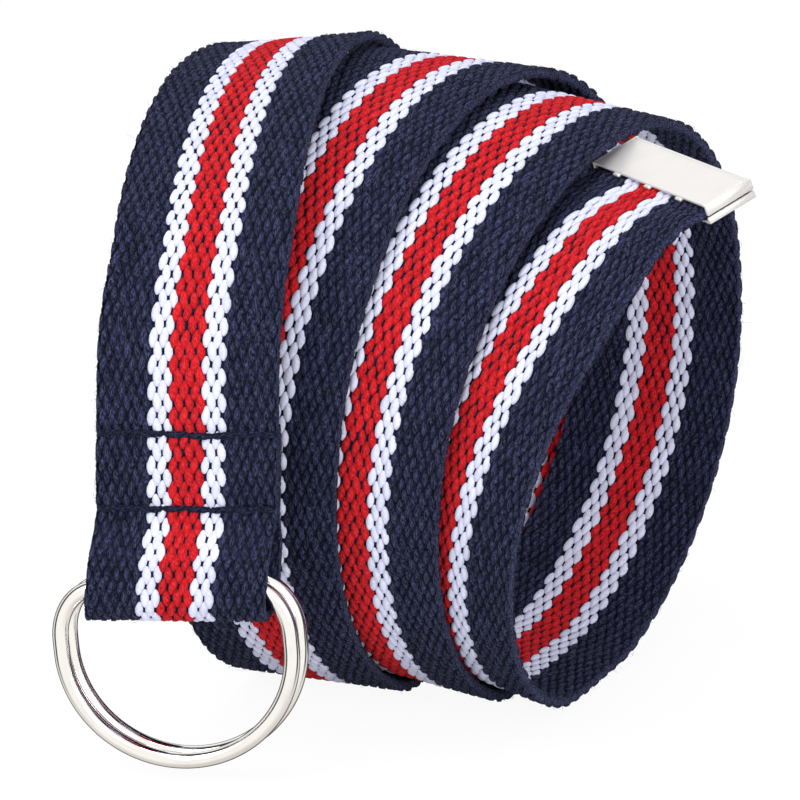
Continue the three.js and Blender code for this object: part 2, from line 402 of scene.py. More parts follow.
    def main_stretch(self, fineness: int) -> tuple[np.ndarray, np.ndarray, np.ndarray, np.ndarray]:
        """The hanging stretch and the coil with their frames.

        Args:
            fineness: Steps for each step of the solid model.

        Returns:
            Points, tangents, widths and outer normals.
        """
        hang, hang_bank, facing, tilt = self.hang(fineness)
        coil, coil_bank = self.coil(fineness)
        points = np.concatenate([hang, coil])
        ahead = np.concatenate([points[1:], points[-1:]])
        behind = np.concatenate([points[:1], points[:-1]])
        tangents = unit(ahead - behind)
        blank = np.zeros(len(coil))
        facing = np.radians(np.concatenate([facing, blank]))
        tilt = np.radians(np.concatenate([tilt, blank]))[:, None]
        roll = np.radians(np.concatenate([hang_bank, coil_bank]))[:, None]
        level = np.stack([np.cos(facing), np.sin(facing), np.zeros(len(facing))], axis=1)
        width = unit(level - tangents * np.sum(level * tangents, axis=1, keepdims=True))
        normal = np.cross(width, tangents)
        width = width * np.cos(tilt) + tangents * np.sin(tilt)
        return (
            points,
            tangents,
            width * np.cos(roll) + normal * np.sin(roll),
            normal * np.cos(roll) - width * np.sin(roll),
        )

    def fold_frame(self) -> FoldFrame:
        """The fold's own axes, which the solid model takes from its first station."""
        points, tangents, widths, normals = self.main_stretch(1)
        lean = math.radians(self.fold_lean)
        return FoldFrame(
            centre=points[0] - normals[0] * self.layer_pitch / 2,
            down=-tangents[0] * math.cos(lean) - widths[0] * math.sin(lean),
            across=widths[0],
            out=normals[0],
        )

    def fold_stretch(self, fold: FoldFrame, steps: int) -> tuple[np.ndarray, np.ndarray, np.ndarray]:
        """The fold from the tail's lower end, round the bars and up to the seam.

        Args:
            fold: The fold's axes.
            steps: Steps of each wall and of the bend.

        Returns:
            Points, widths and outer normals.
        """
        flare = self.fold_radius - self.layer_pitch / 2
        reach = min(self.flare_length, self.bend_depth)
        share = np.arange(1, steps + 1) / steps
        wall_depth = share * reach
        wall_offset = self.layer_pitch / 2 + flare * (1 - np.cos(np.pi * share)) / 2
        wall_slope = np.arctan(flare * np.pi * np.sin(np.pi * share) / (2 * reach))
        turn = np.pi * (1 - np.arange(steps + 1) / steps)
        depth = np.concatenate(
            [wall_depth, self.bend_depth + self.fold_radius * np.sin(turn), wall_depth[::-1]]
        )
        offset = np.concatenate([-wall_offset, self.fold_radius * np.cos(turn), wall_offset[::-1]])
        heading = np.concatenate([np.pi - wall_slope, turn, wall_slope[::-1]])
        slide = -self.fold_slide * (1 + np.cos(heading)) / 2 * depth / self.pocket_length
        points = (
            fold.centre
            + depth[:, None] * fold.down
            + offset[:, None] * fold.out
            + slide[:, None] * fold.across
        )
        normals = np.cos(heading)[:, None] * fold.out + np.sin(heading)[:, None] * fold.down
        return points, np.broadcast_to(fold.across, points.shape), normals

    def tail_stretch(
        self, main: tuple[np.ndarray, ...], finest: float
    ) -> tuple[np.ndarray, np.ndarray, np.ndarray]:
        """The tail behind the hanging stretch, from its end down to the lower seam.

        Args:
            main: Points, tangents, widths and normals of the main stretch.
            finest: The step between its places.

        Returns:
            Points, widths and outer normals.
        """
        points, _, widths, normals = main
        distance = np.concatenate([[0], np.cumsum(np.linalg.norm(np.diff(points, axis=0), axis=1))])
        count = int(np.searchsorted(distance, self.seam_spacing + self.tail_past_seam - finest)) + 1
        back = points[:count] - normals[:count] * self.layer_pitch
        return back[::-1], widths[:count][::-1], -normals[:count][::-1]

    def model_low_corner(self) -> np.ndarray:
        """The lowest corner of the solid model's strap, before it is moved to the frame's origin."""
        main = self.main_stretch(1)
        fold = self.fold_frame()
        half, face, soft = self.width / 2, self.thickness / 2, self.edge_round
        corners = [(half - soft, face), (half, face - soft), (half, soft - face), (half - soft, -face)]
        corners += [(-across, -out) for across, out in corners]
        stretches = [(main[0], main[2], main[3]), self.fold_stretch(fold, 10)]
        low = [
            (points + widths * across + normals * out).min(axis=0)
            for points, widths, normals in stretches
            for across, out in corners
        ]
        return np.min(low, axis=0)

    def shift(self) -> np.ndarray:
        """How far the solid model was moved to bring its origin to the middle of its box."""
        return np.array(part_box("strap")[0]) - self.model_low_corner()

    def ribbon(self) -> Ribbon:
        """The whole strap as a dense ribbon in the frame's own place.

        Returns:
            The ribbon, from the tail's end to the end inside the cap.
        """
        main = self.main_stretch(self.fineness)
        step = float(np.linalg.norm(main[0][1] - main[0][0]))
        tail = self.tail_stretch(main, step / 2)
        fold = self.fold_stretch(self.fold_frame(), 20)
        parts = [tail, fold, (main[0], main[2], main[3])]
        points, widths, normals = (np.concatenate([part[k] for part in parts]) for k in range(3))
        points = points + self.shift()
        distances = np.concatenate([[0], np.cumsum(np.linalg.norm(np.diff(points, axis=0), axis=1))])
        low_tail = distances[len(tail[0]) - 1]
        low_main = distances[len(tail[0]) + len(fold[0])]
        low, high = self.stitch_rise, self.stitch_rise + self.stitch_rows
        seams = (low_tail - high, low_tail - low, low_main + low, low_main + high)
        return Ribbon(points, widths, normals, distances, tuple(float(s) for s in seams))


class Nodes:
    """A node tree that is filled in from code."""

    def __init__(self, tree: bpy.types.NodeTree) -> None:
        """Empties the tree.

        Args:
            tree: The tree of a material, world or group.
        """
        self.tree = tree
        tree.nodes.clear()

    def add(self, kind: str, settings: dict | None = None, **inputs: object) -> bpy.types.Node:
        """Adds a node.

        Args:
            kind: Blender's name of the node type.
            settings: Properties of the node.
            inputs: Values or output sockets for its inputs, named with _ for a space, or by number
                as in0.

        Returns:
            The node.
        """
        node = self.tree.nodes.new(kind)
        for key, value in (settings or {}).items():
            setattr(node, key, value)
        for key, value in inputs.items():
            name = int(key[2:]) if key[:2] == "in" and key[2:].isdigit() else key.replace("_", " ")
            if isinstance(value, bpy.types.NodeSocket):
                self.tree.links.new(value, node.inputs[name])
            else:
                node.inputs[name].default_value = value
        return node

    def math(self, operation: str, *values: object) -> bpy.types.NodeSocket:
        """Adds a Math node.

        Args:
            operation: Its operation.
            values: Its inputs in order.

        Returns:
            Its output socket.
        """
        inputs = {f"in{k}": value for k, value in enumerate(values)}
        return self.add("ShaderNodeMath", {"operation": operation}, **inputs).outputs[0]

    def mix(self, factor: object, a: object, b: object, blend: str = "MIX") -> bpy.types.NodeSocket:
        """Adds a colour Mix node.

        Args:
            factor: How much of b is used.
            a: The first colour.
            b: The second colour.
            blend: The blend type.

        Returns:
            Its colour output.
        """
        node = self.add("ShaderNodeMix", {"data_type": "RGBA", "blend_type": blend})
        for index, value in ((0, factor), (6, a), (7, b)):
            if isinstance(value, bpy.types.NodeSocket):
                self.tree.links.new(value, node.inputs[index])
            else:
                node.inputs[index].default_value = value
        return node.outputs[2]


def colour(red: float, green: float, blue: float) -> tuple[float, float, float, float]:
    """Turns a screen colour from 0 to 255 into the linear colour that a shader takes.

    Args:
        red: Red, from 0 to 255.
        green: Green, from 0 to 255.
        blue: Blue, from 0 to 255.

    Returns:
        The linear colour with full alpha.
    """
    linear = [
        value / 12.92 if value <= 0.04045 else ((value + 0.055) / 1.055) ** 2.4
        for value in (red / 255, green / 255, blue / 255)
    ]
    return linear[0], linear[1], linear[2], 1.0


def group_tree(name: str, inputs: dict[str, str], outputs: dict[str, str]) -> Nodes:
    """Makes an empty shader node group with named sockets.

    Args:
        name: The group's name.
        inputs: Socket type for each input's name.
        outputs: Socket type for each output's name.

    Returns:
        The group's nodes.
    """
    tree = bpy.data.node_groups.new(name, "ShaderNodeTree")
    nodes = Nodes(tree)
    for sockets, direction in ((inputs, "INPUT"), (outputs, "OUTPUT")):
        for label, kind in sockets.items():
            tree.interface.new_socket(name=label, in_out=direction, socket_type=kind)
    return nodes


def yarn_group() -> bpy.types.NodeTree:
    """Twisted, fuzzy yarn: its colour, with painted shade in its grooves, specks and loop rims, and its height,
    from places on the yarn and in the cloth.

    Returns:
        The node group.
    """
    nodes = group_tree(
        "twisted yarn",
        {
            "Yarn": "NodeSocketVector",
            "Place": "NodeSocketVector",
            "Shade": "NodeSocketFloat",
            "Base": "NodeSocketColor",
            "Deep": "NodeSocketColor",
            "Fuzz": "NodeSocketColor",
            "Ply Pitch": "NodeSocketFloat",
            "Twist Depth": "NodeSocketFloat",
            "Fuzz Amount": "NodeSocketFloat",
            "Mottle": "NodeSocketFloat",
        },
        {"Color": "NodeSocketColor", "Height": "NodeSocketFloat"},
    )
    given = nodes.add("NodeGroupInput").outputs
    turned = nodes.add("ShaderNodeMapping", Vector=given["Yarn"], Rotation=(0, 0, math.radians(-32)))
    wave_period = 2 * math.pi / 20
    twist = nodes.add(
        "ShaderNodeTexWave",
        {"wave_type": "BANDS", "bands_direction": "X", "wave_profile": "SIN"},
        Vector=turned.outputs[0],
        Scale=nodes.math("DIVIDE", wave_period, given["Ply Pitch"]),
        Distortion=2.2,
        Detail=2.0,
        Detail_Scale=2.0,
    )
    ply = nodes.math("MULTIPLY", twist.outputs["Fac"], given["Twist Depth"])
    # Painted shade: the grooves between the plies take the darker groove colour.
    deep = nodes.math("MULTIPLY", nodes.math("SUBTRACT", 1.0, twist.outputs["Fac"]), given["Twist Depth"])
    body = nodes.mix(deep, given["Base"], given["Deep"])
    cloud = nodes.add("ShaderNodeTexNoise", Vector=given["Place"], Scale=700.0, Detail=4.0, Roughness=0.7)
    mottle = nodes.add(
        "ShaderNodeMapRange", Value=cloud.outputs["Fac"], From_Min=0.32, From_Max=0.68, To_Min=0.45, To_Max=1.55
    )
    spread = nodes.math("MULTIPLY_ADD", nodes.math("SUBTRACT", mottle.outputs[0], 1.0), given["Mottle"], 1.0)
    # Painted shade: dark specks at random places stand for the shaded holes between the loops, and sink the bump
    # there.
    speck = nodes.add("ShaderNodeTexNoise", Vector=given["Place"], Scale=1150.0, Detail=1.0, Roughness=0.5)
    pit_shade = nodes.add(
        "ShaderNodeMapRange", Value=speck.outputs["Fac"], From_Min=0.36, From_Max=0.47, To_Min=0.8, To_Max=0.0
    )
    pit_shaded = nodes.math("SUBTRACT", 1.0, nodes.math("MULTIPLY", pit_shade.outputs[0], given["Mottle"]))
    # The dye's uneven tone, times the painted shade of the specks and the vertex shade.
    tone_and_shade = nodes.math("MULTIPLY", nodes.math("MULTIPLY", spread, pit_shaded), given["Shade"])
    shaded = nodes.add("ShaderNodeVectorMath", {"operation": "SCALE"}, in0=body, Scale=tone_and_shade)
    streaks = []
    for angle, width, length in ((24, 3.3, 0.9), (-38, 3.6, 1.0), (70, 3.2, 1.1)):
        laid = nodes.add(
            "ShaderNodeMapping",
            Vector=given["Yarn"],
            Location=(angle, angle, 0),
            Rotation=(0, 0, math.radians(angle)),
            Scale=(length, width, 1),
        )
        hair = nodes.add("ShaderNodeTexNoise", Vector=laid.outputs[0], Scale=1.0, Detail=2.0, Roughness=0.55)
        mask = nodes.add(
            "ShaderNodeMapRange", Value=hair.outputs["Fac"], From_Min=0.52, From_Max=0.64, To_Min=0, To_Max=1
        )
        streaks.append(mask.outputs[0])
    hairs = nodes.math("MAXIMUM", nodes.math("MAXIMUM", streaks[0], streaks[1]), streaks[2])
    # The fuzz dims with the vertex shade, so the painted shade at the loops' rims darkens it too.
    fuzz_shade = nodes.math("MINIMUM", given["Shade"], 1.0)
    cover = nodes.math("MULTIPLY", nodes.math("MULTIPLY", hairs, given["Fuzz Amount"]), fuzz_shade)
    finished = nodes.mix(cover, shaded.outputs[0], given["Fuzz"])
    grains = nodes.math("MULTIPLY", nodes.math("SUBTRACT", cloud.outputs["Fac"], pit_shade.outputs[0]), given["Mottle"])
    height = nodes.math("ADD", ply, nodes.math("ADD", cover, nodes.math("MULTIPLY", grains, 0.7)))
    nodes.add("NodeGroupOutput", Color=finished, Height=height)
    return nodes.tree


def polish_group() -> bpy.types.NodeTree:
    """Handled plated metal: its colour, roughness and height from fine scratches and dulled patches.

    Returns:
        The node group.
    """
    nodes = group_tree(
        "handled plating",
        {
            "Place": "NodeSocketVector",
            "Bright": "NodeSocketColor",
            "Dull": "NodeSocketColor",
            "Smooth Roughness": "NodeSocketFloat",
            "Worn Roughness": "NodeSocketFloat",
            "Grain": "NodeSocketFloat",
        },
        {"Color": "NodeSocketColor", "Roughness": "NodeSocketFloat", "Height": "NodeSocketFloat"},
    )
    given = nodes.add("NodeGroupInput").outputs
    patches = nodes.add("ShaderNodeTexNoise", Vector=given["Place"], Scale=90.0, Detail=4.0, Roughness=0.6)
    stretched = nodes.add("ShaderNodeMapping", Vector=given["Place"], Scale=(1.0, 9.0, 9.0))
    scratches = nodes.add("ShaderNodeTexNoise", Vector=stretched.outputs[0], Scale=420.0, Detail=3.0)
    grain = nodes.add("ShaderNodeTexNoise", Vector=given["Place"], Scale=3200.0, Detail=2.0)
    wear = nodes.add(
        "ShaderNodeMapRange", Value=patches.outputs["Fac"], From_Min=0.45, From_Max=0.75, To_Min=0.0, To_Max=1.0
    )
    line = nodes.add(
        "ShaderNodeMapRange", Value=scratches.outputs["Fac"], From_Min=0.62, From_Max=0.74, To_Min=0.0, To_Max=1.0
    )
    both = nodes.math("MAXIMUM", wear.outputs[0], nodes.math("MULTIPLY", line.outputs[0], 0.6))
    finished = nodes.mix(both, given["Bright"], given["Dull"])
    rough = nodes.add(
        "ShaderNodeMapRange",
        Value=both,
        From_Min=0.0,
        From_Max=1.0,
        To_Min=given["Smooth Roughness"],
        To_Max=given["Worn Roughness"],
    )
    speck = nodes.math("MULTIPLY", grain.outputs["Fac"], given["Grain"])
    height = nodes.math("SUBTRACT", speck, nodes.math("MULTIPLY", line.outputs[0], 0.15))
    nodes.add("NodeGroupOutput", Color=finished, Roughness=rough.outputs[0], Height=height)
    return nodes.tree


def new_material(name: str) -> tuple[bpy.types.Material, Nodes]:
    """An empty node material.

    Args:
        name: The material's name.

    Returns:
        The material and its nodes.
    """
    material = bpy.data.materials.new(name)
    material.use_nodes = True
    return material, Nodes(material.node_tree)


@dataclass(frozen=True)
class YarnFinish:
    """Dyed cotton yarn.

    Attributes:
        name: The material's name.
        base: The yarn's colour in the light.
        deep: Its colour between the plies, a painted shade in the grooves of the twist.
        fuzz: The colour of the stray fibres on it.
        ply_pitch: Distance from ply to ply along the yarn, in millimetres.
        twist_depth: How much the twist shows.
        fuzz_amount: How much the stray fibres show.
        mottle: How uneven the dye is, and how dark the painted shade of the specks is.
        bump: Depth of the surface, in metres.
        sheen: Strength of the soft edge light on the fibres.
    """

    name: str
    base: tuple[float, float, float, float]
    deep: tuple[float, float, float, float]
    fuzz: tuple[float, float, float, float]
    ply_pitch: float
    twist_depth: float
    fuzz_amount: float
    mottle: float
    bump: float
    sheen: float

    def build(self, group: bpy.types.NodeTree) -> bpy.types.Material:
        """Makes the material.

        Args:
            group: The twisted yarn group.

        Returns:
            The material.
        """
        material, nodes = new_material(self.name)
        place = nodes.add("ShaderNodeTexCoord").outputs["Object"]
        along = nodes.add("ShaderNodeUVMap", {"uv_map": "yarn"}).outputs[0]
        shade = nodes.add("ShaderNodeAttribute", {"attribute_name": "shade"}).outputs["Fac"]
        yarn = nodes.add(
            "ShaderNodeGroup",
            {"node_tree": group},
            Yarn=along,
            Place=place,
            Shade=shade,
            Base=self.base,
            Deep=self.deep,
            Fuzz=self.fuzz,
            Ply_Pitch=self.ply_pitch,
            Twist_Depth=self.twist_depth,
            Fuzz_Amount=self.fuzz_amount,
            Mottle=self.mottle,
        )
        bump = nodes.add("ShaderNodeBump", Height=yarn.outputs["Height"], Strength=0.8, Distance=self.bump)
        shader = nodes.add(
            "ShaderNodeBsdfPrincipled",
            Base_Color=yarn.outputs["Color"],
            Roughness=0.92,
            Sheen_Weight=self.sheen,
            Sheen_Roughness=0.5,
            Specular_IOR_Level=0.08,
            Normal=bump.outputs[0],
        )
        nodes.add("ShaderNodeOutputMaterial", Surface=shader.outputs[0])
        return material


@dataclass(frozen=True)
class MetalFinish:
    """Plated metal.

    Attributes:
        name: The material's name.
        bright: The plating's colour.
        dull: Its colour where it is handled.
        metallic: How metallic it looks.
        smooth_roughness: Roughness where it is polished.
        worn_roughness: Roughness where it is handled.
        grain: How much fine grain the surface shows.
    """

    name: str
    bright: tuple[float, float, float, float]
    dull: tuple[float, float, float, float]
    metallic: float
    smooth_roughness: float
    worn_roughness: float
    grain: float

    def build(self, group: bpy.types.NodeTree) -> bpy.types.Material:
        """Makes the material.

        Args:
            group: The handled plating group.

        Returns:
            The material.
        """
        material, nodes = new_material(self.name)
        place = nodes.add("ShaderNodeTexCoord").outputs["Object"]
        plating = nodes.add(
            "ShaderNodeGroup",
            {"node_tree": group},
            Place=place,
            Bright=self.bright,
            Dull=self.dull,
            Smooth_Roughness=self.smooth_roughness,
            Worn_Roughness=self.worn_roughness,
            Grain=self.grain,
        )
        bump = nodes.add("ShaderNodeBump", Height=plating.outputs["Height"], Strength=0.3, Distance=0.00003)
        shader = nodes.add(
            "ShaderNodeBsdfPrincipled",
            Base_Color=plating.outputs["Color"],
            Metallic=self.metallic,
            Roughness=plating.outputs["Roughness"],
            Normal=bump.outputs[0],
        )
        nodes.add("ShaderNodeOutputMaterial", Surface=shader.outputs[0])
        return material


@dataclass(frozen=True)
class Finishes:
    """All the finishes of the belt.

    Attributes:
        yarns: The three yarns of the cloth.
        ground: The dark navy yarn under the loops, darker still as painted shade for the holes between them.
        thread: The sewing thread.
        nickel: The rings' plating.
        cap: The cap's plating.
    """

    yarns: dict[Yarn, bpy.types.Material]
    ground: bpy.types.Material
    thread: bpy.types.Material
    nickel: bpy.types.Material
    cap: bpy.types.Material

    @staticmethod
    def build() -> "Finishes":
        """Makes every material of the belt."""
        yarn, plating = yarn_group(), polish_group()
        navy_fuzz = colour(97, 102, 142)
        # The second colour of each yarn is painted shade for the grooves between its plies.
        yarns = {
            Yarn.NAVY: YarnFinish(
                "navy yarn", colour(37, 40, 69), colour(13, 14, 28), navy_fuzz, 1.05, 0.6, 0.62, 1.0, 0.0004, 0.04
            ),
            Yarn.WHITE: YarnFinish(
                "white yarn", colour(228, 230, 248), colour(208, 211, 239), colour(246, 247, 255), 0.9, 0.3, 0.3,
                0.1, 0.00006, 0.03,
            ),
            Yarn.RED: YarnFinish(
                "red yarn", colour(229, 23, 32), colour(160, 7, 17), colour(246, 74, 80), 0.85, 0.4, 0.5,
                0.35, 0.00025, 0.03,
            ),
        }
        # The ground is dark navy cloth, darkened further as painted shade for the holes between the loops.
        ground = YarnFinish(
            "ground yarn", colour(17, 18, 36), colour(7, 8, 18), navy_fuzz, 1.0, 0.5, 0.12, 0.8, 0.0002, 0.0
        )
        thread = YarnFinish(
            "sewing thread", colour(17, 18, 38), colour(6, 7, 15), navy_fuzz, 1.0, 0.85, 0.22, 0.8, 0.0003, 0.03
        )
        nickel = MetalFinish("polished nickel", colour(250, 248, 245), colour(240, 236, 231), 1.0, 0.04, 0.09, 0.05)
        cap = MetalFinish("satin nickel", colour(238, 235, 229), colour(231, 228, 221), 0.42, 0.36, 0.42, 0.6)
        return Finishes(
            yarns={key: finish.build(yarn) for key, finish in yarns.items()},
            ground=ground.build(yarn),
            thread=thread.build(yarn),
            nickel=nickel.build(plating),
            cap=cap.build(plating),
        )


@dataclass(frozen=True)
class LoopForm:
    """The size of one yarn's loops.

    Attributes:
        length: Length of a loop.
        width: Its width.
        height: Its height over the ground.
        lean: How far the loops of a column lean, in degrees, to one side and the other in turn.
        rim_shade: How light the painted shade leaves a loop where it sinks between its neighbours, against its top.
        unevenness: How much the loops differ in size.
        stations: Sections of a loop.
        points: Points round a section.
    """

    length: float
    width: float
    height: float
    lean: float
    rim_shade: float
    unevenness: float
    stations: int
    points: int


@dataclass
class Webbing:
    """The woven strap: a dark ground that holds columns of loops on both faces.

    Attributes:
        ribbon: How the strap lies.
        width: The strap's width.
        thickness: Its thickness over the loops.
        ground_thickness: The thickness of the ground under them.
        columns: Columns of loops across the strap.
        centre_pitch: Distance between the red and the white columns.
        pitch: Distance from loop to loop in a column.
        edge_inset: How far inside the strap's edge the outermost loops stay.
        pressed: How far the rings press the loops in, inside the fold.
        forms: The size of each yarn's loops.
        red_columns: Columns of red loops in the middle.
        white_columns: Columns of white loops on each side of the red ones.
        navy_pieces: How many pieces the navy loops are split into.
    """

    ribbon: Ribbon
    width: float = 38 * MM
    thickness: float = 2.6 * MM
    ground_thickness: float = 1.5 * MM
    columns: int = 36
    centre_pitch: float = 1.12 * MM
    pitch: float = 5.15 * MM
    edge_inset: float = 0.3 * MM
    pressed: float = 0.2 * MM
    forms: dict[Yarn, LoopForm] = field(
        default_factory=lambda: {
            Yarn.NAVY: LoopForm(3.8 * MM, 1.45 * MM, 0.55 * MM, 6.0, 0.3, 0.1, 5, 4),
            Yarn.WHITE: LoopForm(4.0 * MM, 1.8 * MM, 0.52 * MM, 4.5, 0.85, 0.035, 6, 5),
            Yarn.RED: LoopForm(3.95 * MM, 1.84 * MM, 0.52 * MM, 7.0, 0.55, 0.05, 6, 5),
        }
    )
    red_columns: int = 6
    white_columns: int = 4
    navy_pieces: int = 3
    seed: int = 11

    def yarn_of(self, column: int) -> Yarn:
        """The yarn of a column.

        Args:
            column: The column's number from one edge.

        Returns:
            Its yarn.
        """
        middle = (self.columns - 1) / 2
        from_middle = abs(column - middle)
        if from_middle < self.red_columns / 2:
            return Yarn.RED
        if from_middle < self.red_columns / 2 + self.white_columns:
            return Yarn.WHITE
        return Yarn.NAVY

    def column_middle(self, column: int) -> float:
        """The place of a column across the strap.

        Args:
            column: The column's number from one edge.

        Returns:
            The distance of its middle from the strap's middle line.
        """
        offset = column - (self.columns - 1) / 2
        central = self.red_columns / 2 + self.white_columns
        side_pitch = (self.width / 2 - central * self.centre_pitch) / (self.columns / 2 - central)
        beyond = max(abs(offset) - central, 0.0)
        return math.copysign(min(abs(offset), central) * self.centre_pitch + beyond * side_pitch, offset)

    def loop_template(self, stations: int, points: int) -> tuple[np.ndarray, np.ndarray, list[np.ndarray]]:
        """One loop's form: a pointed bead whose ends dive into the cloth.

        Args:
            stations: Sections between its two ends.
            points: Points round each section.

        Returns:
            Shares of half length, half width and height for each vertex, the places round the yarn,
            and the faces.
        """
        along = -np.cos(np.pi * (np.arange(stations) + 1) / (stations + 1))
        wide = (1 - np.abs(along) ** 2.1) ** 0.58
        high = (1 - np.abs(along) ** 4) ** 0.6
        angle = np.pi * (np.arange(points) / (points - 1) - 0.5)
        sections = np.stack(
            [
                np.repeat(along, points),
                (wide[:, None] * np.sin(angle)[None, :]).ravel(),
                (high[:, None] * np.cos(angle)[None, :]).ravel(),
            ],
            axis=1,
        )
        ends = np.array([(-1.0, 0.0, -0.1), (1.0, 0.0, -0.1)])
        vertices = np.concatenate([sections, ends])
        around = np.concatenate([np.tile(angle / np.pi, stations), [0.0, 0.0]])
        first, last = stations * points, stations * points + 1
        j = np.arange(points - 1)
        top = (stations - 1) * points
        caps = np.concatenate(
            [
                np.stack([np.full(points - 1, first), j + 1, j], axis=1),
                np.stack([np.full(points - 1, last), top + j, top + j + 1], axis=1),
            ]
        )
        return vertices, around, [grid_faces(stations, points, False, False), caps]

    def loops(
        self, name: str, columns: Sequence[int], form_of: LoopForm, material: bpy.types.Material
    ) -> bpy.types.Object:
        """The loops of some columns on both faces, as one mesh.

        Args:
            name: The piece's name.
            columns: The columns' numbers.
            form_of: The loops' size.
            material: Their finish.

        Returns:
            The piece.
        """
        rng = np.random.default_rng(self.seed + columns[0])
        form, around, faces = self.loop_template(form_of.stations, form_of.points)
        count = int(self.ribbon.length / self.pitch) - 1
        place = []
        for column in columns:
            for face in Face:
                odd = column % 2
                start = self.pitch * (0.5 + odd / 2)
                along = start + self.pitch * np.arange(count)
                across = np.full(count, self.column_middle(column))
                side = np.full(count, face.value)
                tip = np.full(count, math.tan(math.radians(form_of.lean)) * (1 if odd else -1) * face.value)
                place.append(np.stack([along, across, side, tip], axis=1))
        along, across, side, tip = np.concatenate(place).T
        many = len(along)
        along = along + rng.normal(0, 0.1 * MM, many)
        across = across + rng.normal(0, 0.035 * MM, many)
        tip = tip + rng.normal(0, 0.025, many)
        size = rng.normal(1, form_of.unevenness, (many, 1))
        u = form[None, :, 0] * form_of.length / 2 * size
        w = form[None, :, 1] * form_of.width / 2 * size + u * tip[:, None]
        swell = rng.normal(1, 0.04 + form_of.unevenness, (many, 1))
        h = self.ground_thickness / 2 + form[None, :, 2] * form_of.height * swell
        rim = self.width / 2 - self.edge_inset
        crown = self.thickness / 2 - self.pressed * (self.ribbon.in_fold(along) & (side < 0))
        points_at = self.ribbon.place(
            along[:, None] + u,
            np.clip(across[:, None] + w, -rim, rim),
            side[:, None] * np.minimum(h, crown[:, None]),
        )
        yarn = np.stack(
            [
                (u / MM + rng.uniform(0, 40, (many, 1))),
                np.broadcast_to(around[None, :] * math.pi * form_of.width / 2 / MM, u.shape),
            ],
            axis=-1,
        )
        # Painted shade: each loop darkens from its top down to its rim, where it sinks between its neighbours.
        rim_painted_shade = form_of.rim_shade + (1 - form_of.rim_shade) * np.clip(form[:, 2], 0, 1) ** 1.6
        shade = (rng.normal(1, form_of.unevenness * 1.3, many)[:, None] * rim_painted_shade[None, :]).ravel()
        base = (np.arange(many) * form.shape[0])[:, None, None]
        flipped = side < 0
        blocks = []
        for block in faces:
            whole = base + block[None, :, :]
            whole = np.where(flipped[:, None, None], whole, whole[:, :, ::-1])
            blocks.append(whole.reshape(-1, block.shape[1]))
        return mesh_object(name, points_at.reshape(-1, 3), blocks, material, yarn.reshape(-1, 2), shade)

    def ground(self, material: bpy.types.Material) -> bpy.types.Object:
        """The closed band of dark ground under the loops.

        Args:
            material: Its finish.

        Returns:
            The piece.
        """
        step = 1.3 * MM
        count = int(self.ribbon.length / step)
        along = np.linspace(0, self.ribbon.length, count)
        half, face = self.width / 2 - self.edge_inset - 0.5 * MM, self.ground_thickness / 2
        flats = np.linspace(-1, 1, 9)
        outline = [(half * f, face) for f in flats] + [(half + face * 0.6, 0.0)] + [
            (half * f, -face) for f in flats[::-1]
        ] + [(-half - face * 0.6, 0.0)]
        across, height = np.array(outline).T
        points = self.ribbon.place(along[:, None], across[None, :], height[None, :])
        columns = len(outline)
        faces = grid_faces(count, columns, False, True)
        lids = np.stack([np.arange(columns), np.arange(columns)[::-1] + (count - 1) * columns])
        yarn = np.stack(np.broadcast_arrays(along[:, None] / MM, across[None, :] / MM), axis=-1)
        shade = np.ones(points.shape[0] * points.shape[1])
        return mesh_object(
            "strap_ground", points.reshape(-1, 3), [faces, lids], material, yarn.reshape(-1, 2), shade
        )

    def selvedge(self, name: str, sign: float, material: bpy.types.Material) -> bpy.types.Object:
        """The loops of crossing yarn that turn back at one edge.

        Args:
            name: The piece's name.
            sign: Which edge, as the sign of the distance across.
            material: Their finish.

        Returns:
            The piece.
        """
        rng = np.random.default_rng(self.seed + (5 if sign > 0 else 6))
        form, around, faces = self.loop_template(4, 4)
        spacing = self.pitch / 4
        many = int(self.ribbon.length / spacing) - 1
        along = spacing * (0.75 + np.arange(many)) + rng.normal(0, 0.1 * MM, many)
        size = rng.normal(1, 0.08, (many, 1))
        u = form[None, :, 0] * spacing * 0.68 * size
        h = form[None, :, 1] * self.thickness * 0.42 + rng.normal(0, 0.1 * MM, (many, 1))
        out = self.width / 2 - self.edge_inset - 0.2 * MM + form[None, :, 2] * 0.34 * MM * size
        points_at = self.ribbon.place(along[:, None] + u, sign * np.abs(out), h)
        yarn = np.stack(
            [u / MM + rng.uniform(0, 40, (many, 1)), np.broadcast_to(around[None, :] * 3.0, u.shape)], axis=-1
        )
        shade = np.repeat(rng.normal(1.05, 0.08, many), form.shape[0])
        base = (np.arange(many) * form.shape[0])[:, None, None]
        blocks = []
        for block in faces:
            whole = base + block[None, :, :]
            if sign < 0:
                whole = whole[:, :, ::-1]
            blocks.append(whole.reshape(-1, block.shape[1]))
        return mesh_object(name, points_at.reshape(-1, 3), blocks, material, yarn.reshape(-1, 2), shade)

